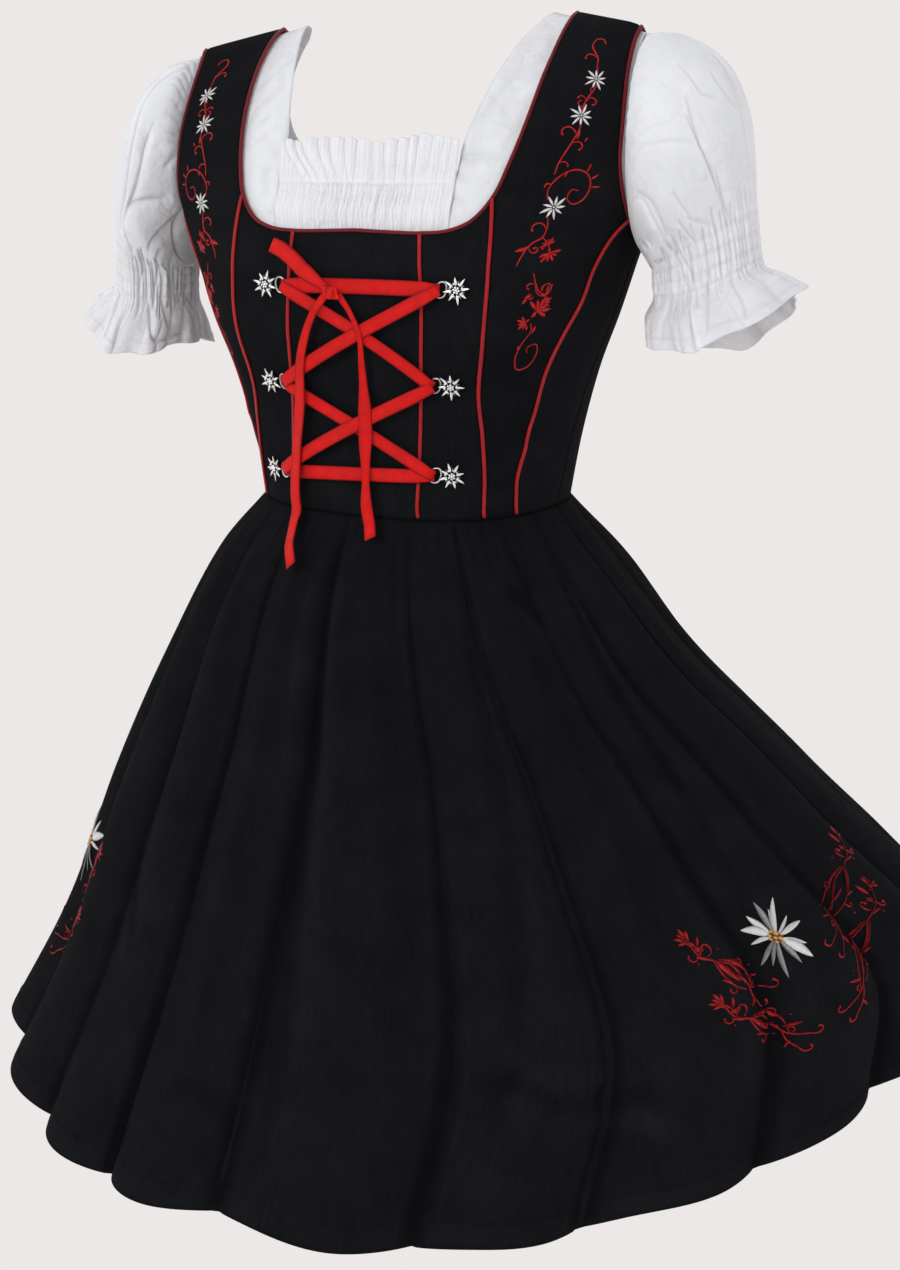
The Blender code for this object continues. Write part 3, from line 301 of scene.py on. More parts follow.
# Valleys between the pleats of the ruffle: place across the front at the ruffle's top and at its gathers,
# -1 to 1, and how high the pleat after it stands
RUFFLE_VALLEYS = np.array([
    (-1.06, -1.04, 0.5), (-0.957, -0.7, 0.8), (-0.84, -0.6, 0.55), (-0.747, -0.51, 1),
    (-0.565, -0.405, 0.85), (-0.43, -0.3, 0.75), (-0.258, -0.178, 1), (-0.113, -0.11, 0.95),
    (0.06, 0.1, 0.6), (0.19, 0.226, 0.9), (0.327, 0.338, 0.75), (0.445, 0.458, 0.9), (0.545, 0.538, 1),
    (0.7, 0.665, 0.7), (0.821, 0.8, 0.6), (0.917, 0.875, 0.5), (1.04, 1.03, 0),
])
# How the top of the ruffle rises and falls across the front
RUFFLE_TOP = heights([
    (-1, 0.5), (-0.957, 0.2), (-0.86, 1.2), (-0.747, 0), (-0.565, 3.2), (-0.3, 3.4), (-0.03, 1.2),
    (0.113, -0.8), (0.25, 1), (0.45, 3.2), (0.6, 5), (0.75, 3.8), (0.9, 2), (1, 0.5),
])
# On a sleeve x runs round it from the outer side, forward in the front, and y down from the armhole.
# SLEEVE_ROUND is the way round it, RING_STEP the way from ring to ring.
SLEEVE_ROUND = 440.0
RING_STEP = 35.0
# Where the rows of elastic run, counted in rings of the sleeve, and the row of stitches at its hem
ELASTIC = [5.70, 6.08, 6.46, 6.84]
CUFF_HEM = 8.60
LEFT_SLEEVE_FOLDS = [
    ([(68, 112), (67, 140), (61, 168), (51, 207)], 7, -4.6, 0.22),
    ([(57, 160), (52, 186), (45, 208)], 4.2, -2.2, 0.3),
    ([(59, 104), (65, 122), (67, 142)], 8.5, -2.5, 0.23),
    ([(45, 85), (47, 105), (46, 117), (34, 128)], 11, -1.7, 0.13),
    ([(4, 60), (1, 110), (4, 150), (6, 182)], 5, -3.6, 1.6),
    ([(28, 106), (25, 123), (15, 142)], 6.8, -1.8, 0.23),
    ([(118, 62), (105, 77), (94, 101), (68, 140)], 10.2, -1.1, 0.3),
    ([(108, 50), (97, 73), (78, 103), (64, 108)], 10.2, -0.8, 0.4),
    ([(144, 60), (136, 82), (137, 126), (133, 182)], 7, -2.4, 0.35),
    ([(134, 74), (132, 100), (131, 136), (129, 174)], 3, -2.5, 0.5),
    ([(173, 108), (168, 130), (163, 152)], 6.8, -2.9, 0.15),
    ([(160, 120), (157, 140), (152, 162)], 5, -2.5, 0.24),
    ([(106, 140), (102, 158), (94, 180)], 5, -1.8, 0.3),
    ([(100, 174), (90, 184), (72, 195)], 4.2, -1.7, 0.3),
    ([(110, 168), (104, 184), (96, 200)], 4.5, -2.5, 0.21),
    ([(136, 170), (127, 198), (120, 220), (110, 241)], 3.4, -2.7, 0.5),
    ([(124, 174), (116, 208), (108, 222), (103, 238)], 3.2, -2.7, 0.5),
    ([(108, 232), (106.5, 270), (105.5, 322)], 20, 6.6, 0.06),
    ([(110, 234), (108.5, 270), (108, 318)], 1.2, -2.4, 1),
    ([(142, 236), (145, 270), (148, 306)], 5, -3.2, 0.4), ([(88, 242), (90, 264), (98, 307)], 6, -2.8, 0.4),
    ([(60, 244), (61, 270), (66, 307)], 6, -3.4, 0.4), ([(30, 246), (28, 270), (30, 307)], 6, -3, 0.5),
    ([(-30, 248), (-52, 280), (-58, 309)], 5, -3.4, 0.6),
    ([(-30, 80), (-36, 120), (-28, 172)], 10.2, -2.5, 0.15),
    ([(-80, 85), (-62, 130), (-40, 176)], 11.9, -3.2, 0.15),
    ([(-120, 100), (-100, 140), (-70, 176)], 10.2, 2.3, 0.23),
    ([(-180, 110), (-140, 95), (-100, 90)], 10.2, -2.4, 0.23),
    ([(-170, 150), (-130, 172), (-100, 192)], 8.5, -2.3, 0.19),
    ([(-110, 236), (-112, 270), (-116, 312)], 5, -3.2, 0.4),
    ([(-165, 236), (-166, 270), (-170, 312)], 5, -3.2, 0.4),
    ([(190, 90), (196, 130), (188, 172)], 8.5, -2.3, 0.19),
]
RIGHT_SLEEVE_FOLDS = [
    ([(16, 8), (52, 75), (86, 100), (106, 130), (101, 177)], 2, -4.2, 3.2),
    ([(84, 54), (98, 68), (111, 84), (120, 120), (107, 170)], 1.8, -4.4, 3.4),
    ([(92, 60), (105, 80)], 5.5, -3.4, 1), ([(116, 138), (124, 122), (136, 92), (147, 46)], 5.5, -4.6, 0.6),
    ([(158, 18), (165, 60), (166, 96), (155, 168)], 2, -4, 3.4),
    ([(160, 32), (180, 90), (203, 158)], 2, -3.4, 3), ([(121, 46), (113, 10)], 3.6, -2.4, 1),
    ([(109, 168), (114, 180), (122, 194)], 2, -2.8, 2),
    ([(143, 170), (136, 200), (123, 236)], 1.6, -3.2, 2.4),
    ([(173, 138), (166, 180), (155, 235)], 1.6, -3.2, 2.4),
    ([(190, 150), (185, 190), (178, 238)], 1.6, -2.8, 2.4),
    ([(66, 242), (80, 270), (100, 306)], 1.6, -4, 4), ([(98, 238), (108, 274), (119, 316)], 1.6, -4.2, 4),
    ([(141, 236), (150, 262), (163, 292), (180, 304)], 2, -4, 3),
    ([(168, 238), (176, 262), (184, 288)], 1.8, -3.2, 3),
    ([(214, 242), (232, 268), (252, 300)], 1.8, -3.8, 3),
    ([(158, 290), (178, 303), (210, 298)], 4, -3.4, 1),
    ([(-10, 60), (-16, 110), (-4, 166)], 2.4, -3.4, 2.6),
    ([(-90, 85), (-80, 130), (-50, 174)], 2.6, -4.2, 2.6),
    ([(-130, 104), (-104, 140), (-80, 176)], 5, 3, 1),
    ([(-184, 112), (-150, 96), (-110, 92)], 4, -3.4, 1.6),
    ([(-60, 242), (-62, 275), (-66, 312)], 2.4, -3.6, 2.2),
    ([(-140, 242), (-138, 275), (-134, 312)], 2.4, -3.4, 2.2),
    ([(20, 244), (22, 275), (24, 312)], 2.4, -3.6, 2.2),
]

# Petals of a hook in two layers: how many, start, length, width, low, high, lift, turn
ROSETTE = [
    (8, 0.0036, 0.0074, 0.0030, 0.0034, 0.0045, 0.0006, 0.0),
    (8, 0.0044, 0.0036, 0.0020, 0.0032, 0.0042, 0.0004, 22.5),
]
# Beads at the heart of a hook: how many, distance from the middle, radius
HEART = ((8, 0.0052, 0.0009), (6, 0.0022, 0.0010), (1, 0.0, 0.0012))

# Embroidery of the straps in groups. Each group: angle and height of its anchor, vines as millimetres
# about the anchor, curls (x, y, heading, length, turn, width), leaves (x, y, heading, length, width, bend)
# and carnations (x, y, size, heading)
STRAP_GROUPS = [
    (49.0, 0.357,
     [[(2.6, -2), (1.5, 5), (1.5, 11), (-2, 17), (-4.5, 22), (-1, 28.5), (5, 28.5), (7, 25)]],
     [(1, 11, 135, 14, 170, 1.5)],
     [],
     []),
    (45.5, 0.325,
     [[(2, 2), (2.6, 7), (5.5, 14), (9.5, 20), (12, 25)]],
     [(5, 13, 25, 15, -250, 1.6), (4, 12, 125, 9, 150, 1.4), (2, 6, 175, 9, -210, 1.4),
      (8, 18, 120, 7, -150, 1.3)],
     [(4, 10, 60, 6, 2.4, 10)],
     []),
    (45.3, 0.304,
     [[(3.4, 17), (2, 10), (-1, 2), (-5, -8), (-8.5, -18), (-9.5, -27)]],
     [(1, 6, 120, 20, 215, 1.8), (-3, -2, 40, 17, -230, 1.6), (-8, -17, 20, 9, -130, 1.4)],
     [(1.5, 3, 80, 9, 3.8, 10), (8, 1, 60, 5, 1.8, 0)],
     []),
    (43.0, 0.254,
     [[(-4, 6), (-5.5, 14), (-2, 22), (7, 29.5), (16, 31), (25, 26.5), (28.5, 17), (24.5, 7),
       (17, 3.5), (11, 8), (13, 15), (19, 14.5)]],
     [(-4, 18, 150, 7, 170, 1.7)],
     [(22, 29.5, 62, 8, 2.0, 12), (27, 24, 28, 9, 2.0, 10), (28.5, 18, -2, 10, 2.0, 8),
      (6, 29, 250, 5, 1.8, 0)],
     []),
    (46.5, 0.222,
     [[(-9, 25), (-7, 17), (-8, 9), (-14, 4.5), (-18, -4), (-20, -14)]],
     [(-7, 15, 120, 19, 215, 1.6), (-15, 0, -60, 15, 330, 1.5), (-8, 9, -30, 12, -130, 1.4)],
     [(-16, 0, 190, 9, 3.8, 10), (-15, 2, 215, 7, 3.0, 0)],
     [(2, -3, 9.5, -70), (-1, 3, 6.5, 120)]),
    (49.0, 0.174,
     [[(-12, 30), (-8, 22), (-3, 15), (4, 12), (8, 20)]],
     [(-8, 22, -75, 40, 400, 1.6), (-9, 21, 160, 10, 230, 1.5), (-10, 14, 250, 9, 210, 1.5)],
     [(-11, 10, 240, 6, 2.9, 0), (-8, 12, 200, 6, 2.9, 0), (4, 12, 80, 8, 2.9, 15)],
     [(1, -2, 12.5, 55), (-6, -10, 8.0, 215), (5, 5, 7.0, 20)]),
    (50.6, 0.138,
     [[(-5, 27), (-3, 20), (-7.5, 9), (-9, -4), (-5, -13.5), (4, -12), (9, -1), (5.5, 8), (-1.5, 5.5),
       (0, 0.5)]],
     [(-7, 8, 200, 6, 160, 1.6)],
     [(-2, 18, 70, 7, 2.9, 10)],
     []),
]
# Small edelweiss of the straps: angle, height, size in millimetres, turn
STRAP_STARS = [(49.8, 0.3505, 8.6, 12.0), (46.2, 0.3238, 9.0, 30.0), (43.9, 0.2545, 9.3, 5.0)]

# Embroidery of the skirt: angle and share of the length of the large edelweiss, and its petals with
# heading, length, width, bend in millimetres and whether the thread is grey
MOTIF_PLACE = (61.0, 0.635)
EDELWEISS_PETALS = [
    (-137, 28, 8.0, -12, True), (-104, 35, 7.0, 18, True), (-121, 25, 6.0, 6, True), (84, 28, 7.0, 14, True),
    (-79, 24, 5.0, -8, True), (52, 35, 9.0, -22, False), (10, 27, 9.0, 12, False), (-56, 28, 9.5, -10, False),
    (152, 21, 9.0, 22, False), (31, 22, 5.0, 8, False), (-33, 21, 5.0, 6, False), (66, 22, 5.0, 8, False),
    (186, 17, 5.5, 8, False), (114, 20, 6.0, -8, False),
]
EDELWEISS_HEART = [
    (-4.2, 2.2, 4.0), (1.6, 3.2, 4.6), (2.4, -1.8, 4.6), (-2.2, -4.2, 3.8), (-4.9, -1.2, 3.2),
    (-1.4, 5.6, 3.4),
    (5.2, 1.4, 3.0), (2.8, -5.4, 3.2), (-1.0, -0.4, 4.0),
]
# A spray of scrolls in millimetres, from its tulip at 0 to its hooks at its length: vines with their width,
# curls, leaves, knots and tulips as on the straps
SPRAY_LENGTH = 84.0
SPRAY_VINES = [
    ([(3, 0), (13, -6), (26, -3), (38, 2), (52, -3), (65, -8), (77, -2)], 2.1),
    ([(25, -3), (35, -10), (48, -14), (60, -12)], 1.8),
    ([(28, 0), (40, 7), (55, 4), (66, -7)], 1.8),
    ([(61, -7), (69, -15), (78, -18)], 1.9),
    ([(34, 3), (46, 1), (57, -7)], 1.6),
]
SPRAY_CURLS = [
    (20, -3, 70, 21, 260, 1.8), (13, -6, -60, 17, -240, 1.8), (42, 7, 50, 17, -250, 1.7),
    (77, -2, 10, 18, 230, 2.1),
    (78, -18, -30, 17, 230, 2.0), (50, -14, -60, 13, -230, 1.7), (66, -8, 60, 12, 210, 1.7),
    (7, 0, -130, 10, -180, 1.7),
]
SPRAY_LEAVES = [
    (27, -2, -22, 26, 6.4, 20), (33, 3, 14, 22, 6.0, -24), (60, -3, 42, 11, 4.0, 20),
    (10, 1, 100, 9, 4.0, 20),
    (70, -14, -80, 8, 3.4, 10), (46, -13, 190, 9, 3.4, 10), (42, -6, 0, 16, 4.4, 14),
    (22, -5, 200, 10, 3.6, 10),
]
SPRAY_KNOTS = [(25, 10, 2.2), (17, -14, 2.0), (58, 10, 1.8)]
SPRAY_TULIPS = [(4, 0, 13.0, 180.0), (14, -3, 6.5, 130.0)]
# Where the sprays lie: start and end in millimetres about the edelweiss, which way they bow and how wide
# they spread
SPRAY_PLACES = [(-78, 20, -22, -45, 1, 1.0), (-76, -38, -3, -98, 1, 0.95), (168, 58, 32, -30, -1, 0.76),
                (136, 10, 12, -92, -1, 0.82)]


def unit(vectors):
    return vectors / np.maximum(np.linalg.norm(vectors, axis=-1, keepdims=True), 1e-12)


def run_along(points):
    """Length from the first point of a line to each of its points."""
    return np.concatenate([[0.0], np.cumsum(np.linalg.norm(np.diff(points, axis=0), axis=1))])


def cubic(x, xs, ys):
    """Smooth curve through the values ys at xs. Each value may be an array."""
    xs, ys = np.asarray(xs, float), np.asarray(ys, float)
    more = (...,) + (None,) * (ys.ndim - 1)
    slope = np.diff(ys, axis=0) / np.diff(xs)[more]
    tangent = np.concatenate([slope[:1], (slope[:-1] + slope[1:]) / 2, slope[-1:]])
    x = np.clip(x, xs[0], xs[-1])
    i = np.clip(np.searchsorted(xs, x) - 1, 0, len(xs) - 2)
    step = (xs[i + 1] - xs[i])[more]
    t = (x - xs[i])[more] / step
    return ((2 * t**3 - 3 * t**2 + 1) * ys[i] + (t**3 - 2 * t**2 + t) * step * tangent[i]
            + (3 * t**2 - 2 * t**3) * ys[i + 1] + (t**3 - t**2) * step * tangent[i + 1])


def smooth(x, low, high):
    """0 below low, 1 above high, and a soft step between."""
    t = np.clip((np.asarray(x, float) - low) / (high - low), 0, 1)
    return t * t * (3 - 2 * t)


def hump(x, wide):
    """A soft hump of height 1 about 0."""
    return np.exp(-(x / wide)**2)


def resample(table, count, start=0, end=None, trim=0.0):
    """Even samples along a table of points, between two of its rows, less a length at the end."""
    metres_a_degree = 0.0028
    length = run_along(table * (metres_a_degree, 1.0))
    last = length[-1 if end is None else end]
    return cubic(np.linspace(length[start], last - trim, count), length, table)


def form(u, h):
    """Point on the outside of the bodice at angle u (degrees) and height h."""
    u, h = np.broadcast_arrays(np.radians(u), h)
    height, widths, fronts, backs = FORM.T
    # above the chest the front and the back round in until they meet on the shoulders
    low = np.minimum(h, CHEST)
    t = np.clip((h - CHEST) / (TOP - CHEST), 0, 1)
    front = cubic(low, height, fronts) * (1 - t**1.55)**(1 / 1.5)
    back = cubic(low, height, backs) * (1 - t**2.2)**(1 / 1.7)
    across, along = squared(u, SQUARE)
    x = cubic(h, height, widths) * across
    # the shoulders slope forward and down towards the arms
    wide = np.abs(x)
    shoulder_y = 0.030 - 0.38 * np.maximum(wide - 0.125, 0)
    shoulder_z = TOP - 0.25 * np.maximum(wide - 0.10, 0) - np.maximum(wide - 0.18, 0)**2
    bust = 0.013 * hump(np.abs(u) - 0.66, 0.34) * hump(h - 0.165, 0.055)
    y = shoulder_y * t**1.5 - np.where(along > 0, front, back) * along - bust * (along > 0)
    y = y - np.where(along > 0, SEAM, -SEAM) * t**6
    z = np.where(h <= CHEST, h, CHEST + (shoulder_z - CHEST) * t)
    return np.stack([x, y, z], -1)


def squared(angle, square):
    """Sine and cosine of a circle that is drawn out towards a square."""
    across = (np.sin(angle) + square * np.sin(3 * angle)) / (1 - square)
    along = (np.cos(angle) - square * np.cos(3 * angle)) / (1 - square)
    return across, along


def slopes(u, h):
    """Change of the form per degree and per metre of height, over small steps."""
    du = 0.05
    dh = 0.0004
    high = np.minimum(h, TOP - dh)
    low = np.maximum(high - dh, 0)
    by_u = (form(u + du, high) - form(u - du, high)) / (2 * du)
    by_h = (form(u, high + dh) - form(u, low)) / (high + dh - low)[..., None]
    return by_u, by_h


def normals_at(u, h):
    u, h = np.broadcast_arrays(np.asarray(u, float), h)
    normal = np.cross(*slopes(u, h))
    # front and back share one normal on the shoulder line
    normal[..., 1] *= np.clip((TOP - h) / 0.004, 0, 1)
    return unit(normal)


def body(u, h, out=0.0):
    """Point on the form moved out along its normal."""
    return form(u, h) + normals_at(u, h) * np.asarray(out)[..., None]


def inset(uv, distance):
    """Curve moved sideways in the cloth, to the left of its direction seen from outside."""
    by_u, by_h = slopes(uv[:, 0], uv[:, 1])
    step = np.gradient(uv, axis=0)
    along = unit(by_u * step[:, :1] + by_h * step[:, 1:])
    side = np.cross(unit(np.cross(by_u, by_h)), along) * distance
    moved = []
    for a, b, want, start in zip(by_u, by_h, side, uv):
        moved.append(start + np.linalg.lstsq(np.stack([a, b], 1), want, rcond=None)[0])
    moved = np.array(moved)
    moved[:, 1] = np.minimum(moved[:, 1], TOP)
    return moved


def uneven(x, count, seed, spread=0.4):
    """Lobes side by side, of uneven width and height, with narrow valleys: 0 to 1. x runs from 0 to 1."""
    rng = np.random.default_rng(seed)
    widths = rng.uniform(1 - spread, 1 + spread, count)
    heights_here = rng.uniform(1 - spread, 1, count)
    edges = np.concatenate([[0.0], np.cumsum(widths)]) / widths.sum()
    i, phase = between(edges, np.mod(x, 1.0))
    return heights_here[i] * np.sin(np.pi * phase)**0.75


def between(edges, place):
    """In which span between edges a place lies, and how far along it, 0 to 1."""
    i = np.clip(np.searchsorted(edges, place, side="right") - 1, 0, len(edges) - 2)
    return i, np.clip((place - edges[i]) / (edges[i + 1] - edges[i]), 0, 1)


def creases(x, y, table):
    """Soft ridges and troughs as listed in a table. x and y are in millimetres, the result in metres."""
    total = np.zeros(np.broadcast(x, y).shape)
    for x0, y0, x1, y1, bow, width, depth, skew in table:
        dx = x1 - x0
        dy = y1 - y0
        length = np.hypot(dx, dy)
        t = ((x - x0) * dx + (y - y0) * dy) / length**2
        away = ((x - x0) * dy - (y - y0) * dx) / length - bow * 4 * t * (1 - t)
        taper = np.sin(np.pi * np.clip(t, 0, 1))**0.7
        total += MM * depth * hump(away, np.where(away > 0, width * skew, width)) * taper
    return total


def fold_lines(x, y, table, around=None):
    """Folds along given curves, on cloth that may close round on itself.
    x, y and around are in millimetres, the result in metres."""
    x, y = np.broadcast_arrays(x, y)
    total = np.zeros(x.shape)
    steps = 24
    for points, width, depth, skew in table:
        knots = np.array(points, float)
        length = run_along(knots)
        at = np.linspace(0, length[-1], steps + 1)
        line = cubic(at, length, knots)
        along = unit(np.gradient(line, axis=0))
        middle = line.mean(0)
        here = x if around is None else middle[0] + np.mod(x - middle[0] + around / 2, around) - around / 2
        reach = np.abs(line - middle).max(0) + 3 * width * max(skew, 1.0)
        near = (np.abs(here - middle[0]) < reach[0]) & (np.abs(y - middle[1]) < reach[1])
        place = np.stack([here[near], y[near]], 1)
        k = ((place[:, None] - line)**2).sum(-1).argmin(1)
        dx, dy = (place - line[k]).T
        away = dx * along[k, 1] - dy * along[k, 0]
        share = (k + (dx * along[k, 0] + dy * along[k, 1]) / at[1]) / steps
        far = np.abs(away / np.where(away > 0, width * skew, width))
        # a broad slope with a narrow crease in its middle
        profile = 0.80 * np.exp(-far**1.5) + 0.20 * np.exp(-(far / 0.30)**1.3)
        total[near] += MM * depth * profile * np.sin(np.pi * np.clip(share, 0, 1))**0.6
    return total


def short_folds(seed, count, around, start, run, width, depth):
    """Rows of uneven folds that run out from a gathered line, in millimetres."""
    rng = np.random.default_rng(seed)
    rows = []
    for k in range(count):
        x = ((k + rng.uniform(-0.4, 0.4)) / count - 0.5) * around
        reach = run * rng.uniform(0.3, 1.3)
        lean = rng.uniform(-0.12, 0.12) * abs(reach)
        bend = lean * rng.uniform(0.0, 1.0)
        rows.append(([(x, start - 0.25 * reach), (x + bend, start + 0.4 * reach), (x + lean, start + reach)],
                     width * rng.uniform(0.7, 1.4), -depth * rng.uniform(0.4, 1.3), rng.uniform(0.6, 1.8)))
    return rows


def skirt(u, s, out=0.0):
    """Point of the skirt at angle u (degrees) and share s of its length."""
    u, s = np.broadcast_arrays(np.asarray(u, float), s)
    left, right, front, back, drop, lift = np.moveaxis(cubic(s, SKIRT[:, 0], SKIRT[:, 1:]), -1, 0)
    turn = np.mod(u + 180.0, 360.0) - 180.0
    i, phase = between(PLEAT_EDGES, turn)
    pleat = PLEATS[i, 1] * cubic(s, *PLEAT_DEPTH.T) * (np.sin(np.pi * phase)**0.8 - 0.62)
    angle = np.radians(u)
    across, along = squared(angle, SQUARE * (1 - 1.45 * s))
    push = pleat + out
    for middle, wide, share, high, full in SWELLS:
        push = push + full * hump(turn - middle, wide) * hump(s - share, high)
    x = np.where(across > 0, left, right) * across + push * np.sin(angle)
    y = -np.where(along > 0, front, back) * along - push * np.cos(angle)
    level = cubic(turn, *HEM.T) + LEVELLING * pleat
    z = -drop + lift * np.maximum(np.sin(angle), 0)**1.3 + level * s**2 - SEAM
    return np.stack([x, y, z], -1)


def world(points, mirror=False):
    """Points of the straight form, turned and lifted as the form stands, about the shoulders."""
    x, y, z = np.moveaxis(points * OTHER_SIDE if mirror else points, -1, 0)
    turn = np.radians(cubic(z, *TWIST.T))
    rise = LEFT_SHOULDER_RISE * np.clip(x - 0.04, 0, 0.15) * np.clip((z - 0.20) / 0.14, 0, 1)**2
    turned = [x * np.cos(turn) - y * np.sin(turn), x * np.sin(turn) + y * np.cos(turn), z + rise]
    return np.stack(turned, -1) - SHOULDER_POINT


def on_bodice(u, h, out=0.0, mirror=False):
    """Point on the worn cloth of the bodice, which stands a little off the smooth form."""
    x = u * (-BODICE_DEGREE if mirror else BODICE_DEGREE)
    soft = creases(x, np.asarray(h) / MM, BODICE_CREASES) * smooth(0.395 - h, 0.0, 0.02)
    return world(body(u, h, out + soft), mirror)


def skirt_soft(u, s):
    """Folds and gathers of the skirt's cloth that the solid doesn't have."""
    u, s = np.broadcast_arrays(np.asarray(u, float), s)
    total = np.zeros(u.shape)
    for top, bottom, width, depth, start, end, skew in SKIRT_FOLDS:
        away = np.mod(u - top - (bottom - top) * s + 180.0, 360.0) - 180.0
        reach = smooth(s, start, start + 0.14) * (1 - smooth(s, end - 0.22, end + 0.001))
        total += MM * depth * hump(away, np.where(away > 0, width * skew, width)) * reach
    gathered = (uneven(np.mod(u + 180.0, 360.0) / 360.0, 74, 5) - 0.6) * 0.0009
    total += gathered * smooth(s, 0.0, 0.02) * (1 - smooth(s, 0.03, 0.24))
    return total + creases(u * SKIRT_DEGREE, s * SKIRT_LENGTH, SKIRT_CREASES)


def on_skirt(u, s, out=0.0):
    return world(skirt(u, s, out + skirt_soft(u, s)))


def add_mesh(name, points, faces, material, nodes=(), uv=None):
    """A smooth piece from an array of points and a list of faces."""
    mesh = bpy.data.meshes.new(name)
    mesh.from_pydata(points.tolist(), [], faces)
    mesh.polygons.foreach_set("use_smooth", [True] * len(mesh.polygons))
    if uv is not None:
        corners = np.empty(len(mesh.loops), int)
        mesh.loops.foreach_get("vertex_index", corners)
        layer = mesh.uv_layers.new(name="cloth")
        layer.data.foreach_set("uv", uv[corners].astype(np.float32).ravel())
    mesh.materials.append(material)
    mesh.update()
    made = bpy.data.objects.new(name, mesh)
    bpy.context.scene.collection.objects.link(made)
    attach(made, "root")
    if nodes:
        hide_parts(*nodes)
    return made


def add_attribute(made, name, values):
    layer = made.data.attributes.new(name, "FLOAT", "POINT")
    layer.data.foreach_set("value", np.asarray(values, np.float32))


def grid_quads(rows, columns, closed=False):
    r = np.arange(rows - 1)[:, None]
    c = np.arange(columns if closed else columns - 1)[None, :]
    d = (c + 1) % columns
    corners = [r * columns + c, r * columns + d, (r + 1) * columns + d, (r + 1) * columns + c]
    return np.stack(corners, -1).reshape(-1, 4)


def grid_normals(points, closed=False):
    by_row = np.gradient(points, axis=0)
    if closed:
        by_column = np.roll(points, -1, 1) - np.roll(points, 1, 1)
    else:
        by_column = np.gradient(points, axis=1)
    return unit(np.cross(by_column, by_row))


def outward(grid):
    """Normals of a closed grid, away from its middle."""
    normal = grid_normals(grid, True)
    away = ((grid - grid.mean(1, keepdims=True)) * normal).sum()
    return normal if away >= 0 else -normal


def shell(name, points, thickness, facing, material, nodes, held=None, closed=False, coarse=1,
          inner=None, reach=3, tone_and_shade=None):
    """Cloth with an outer and an inner side from a grid of points. If it is held, its flat size and area are
    worked out but not used.
    The inner side takes every point, or every second one."""
    normal = grid_normals(points, closed)
    flipped = (normal * facing).sum() < 0
    if flipped:
        normal = -normal
    if inner is None:
        inner = points - normal * thickness
    rows, columns = points.shape[:2]
    r = picked(rows, coarse, False)
    c = picked(columns, coarse, closed)
    inner = inner[np.ix_(r, c)]
    outer_at = np.arange(rows * columns).reshape(rows, columns)
    inner_at = np.arange(len(r) * len(c)).reshape(len(r), len(c)) + outer_at.size
    faces = grid_quads(rows, columns, closed).tolist()
    faces += (grid_quads(len(r), len(c), closed) + outer_at.size)[:, ::-1].tolist()
    faces += rim(outer_at[0], inner_at[0], c, closed)
    faces += [face[::-1] for face in rim(outer_at[-1], inner_at[-1], c, closed)]
    if not closed:
        faces += [face[::-1] for face in rim(outer_at[:, 0], inner_at[:, 0], r)]
        faces += rim(outer_at[:, -1], inner_at[:, -1], r)
    if flipped:
        faces = [face[::-1] for face in faces]
    across = np.linalg.norm(np.diff(points, axis=1), axis=2)
    down = np.linalg.norm(np.diff(points, axis=0), axis=2)
    widest = across.sum(1).max()
    v = np.concatenate([[0.0], np.cumsum(down.mean(1))])
    u = np.concatenate([[0.0], np.cumsum(across.mean(0))])
    uv = np.stack(np.broadcast_arrays(u[None, :] * widest / u[-1], v[:, None]), -1)
    uv = np.concatenate([uv.reshape(-1, 2), uv[np.ix_(r, c)].reshape(-1, 2)])
    both = np.concatenate([points.reshape(-1, 3), inner.reshape(-1, 3)])
    made = add_mesh(name, both, faces, material, nodes, uv)
    # painted shade and painted light: unless a tone is given, how deep each point lies in a fold darkens the
    # cloth's colour in the valleys and lightens it on the ridges
    if tone_and_shade is None:
        tone_and_shade = hollows(points, normal, reach, closed)
    add_attribute(made, "hollow", np.concatenate([tone_and_shade.ravel(), np.zeros(inner.size // 3)]))
    if held:
        area = surface(points, closed)
        wide = widest + (across[:, :1].max() if closed else 0)
        flat = (float(wide), float(max(v[-1], area / wide)))
        area = float(min(area, flat[0] * flat[1]))
    return made


def hollows(points, normal, reach, closed):
    """How deep each point lies between its neighbours a few points away: -1 on a ridge to 1 in a valley. The
    cloth's colour takes painted shade from it in the valleys and painted light on the ridges.
    """
    deepest_slope = 0.030
    rows, columns = points.shape[:2]
    r, c = np.arange(rows), np.arange(columns)
    ways = []
    for step in (-reach, reach):
        ways.append(points[np.clip(r + step, 0, rows - 1)])
        ways.append(points[:, np.mod(c + step, columns) if closed else np.clip(c + step, 0, columns - 1)])
    depth = ((sum(ways) / 4 - points) * normal).sum(-1)
    apart = np.linalg.norm(ways[3] - ways[1], axis=-1) + np.linalg.norm(ways[2] - ways[0], axis=-1)
    steep = depth / (deepest_slope * np.maximum(apart, 1e-5))
    steep[[0, -1]] = 0.0
    return np.clip(steep - np.median(steep), -1, 1)


def picked(count, step, closed):
    """Every point or every second one of a row; an open row keeps its last point."""
    chosen = np.arange(0, count, step)
    if not closed and chosen[-1] != count - 1:
        chosen = np.append(chosen, count - 1)
    return chosen


def rim(outer, inner, chosen, closed=False):
    """Triangles that join the outer and inner side along one edge of the grid."""
    faces = []
    count = len(outer)
    for k in range(len(chosen) if closed else len(chosen) - 1):
        n = (k + 1) % len(chosen)
        first = chosen[k]
        last = chosen[n] if n else count
        half = (first + last + 1) // 2
        for j in range(first, last):
            faces.append([outer[(j + 1) % count], outer[j % count], inner[k if j < half else n]])
        faces.append([outer[half % count], inner[k], inner[n]])
    return np.array(faces).tolist()


def surface(points, closed):
    """Area of a grid of points."""
    if closed:
        points = np.concatenate([points, points[:, :1]], 1)
    a = points[1:, 1:] - points[:-1, :-1]
    b = points[1:, :-1] - points[:-1, 1:]
    return np.linalg.norm(np.cross(a, b), axis=-1).sum() / 2


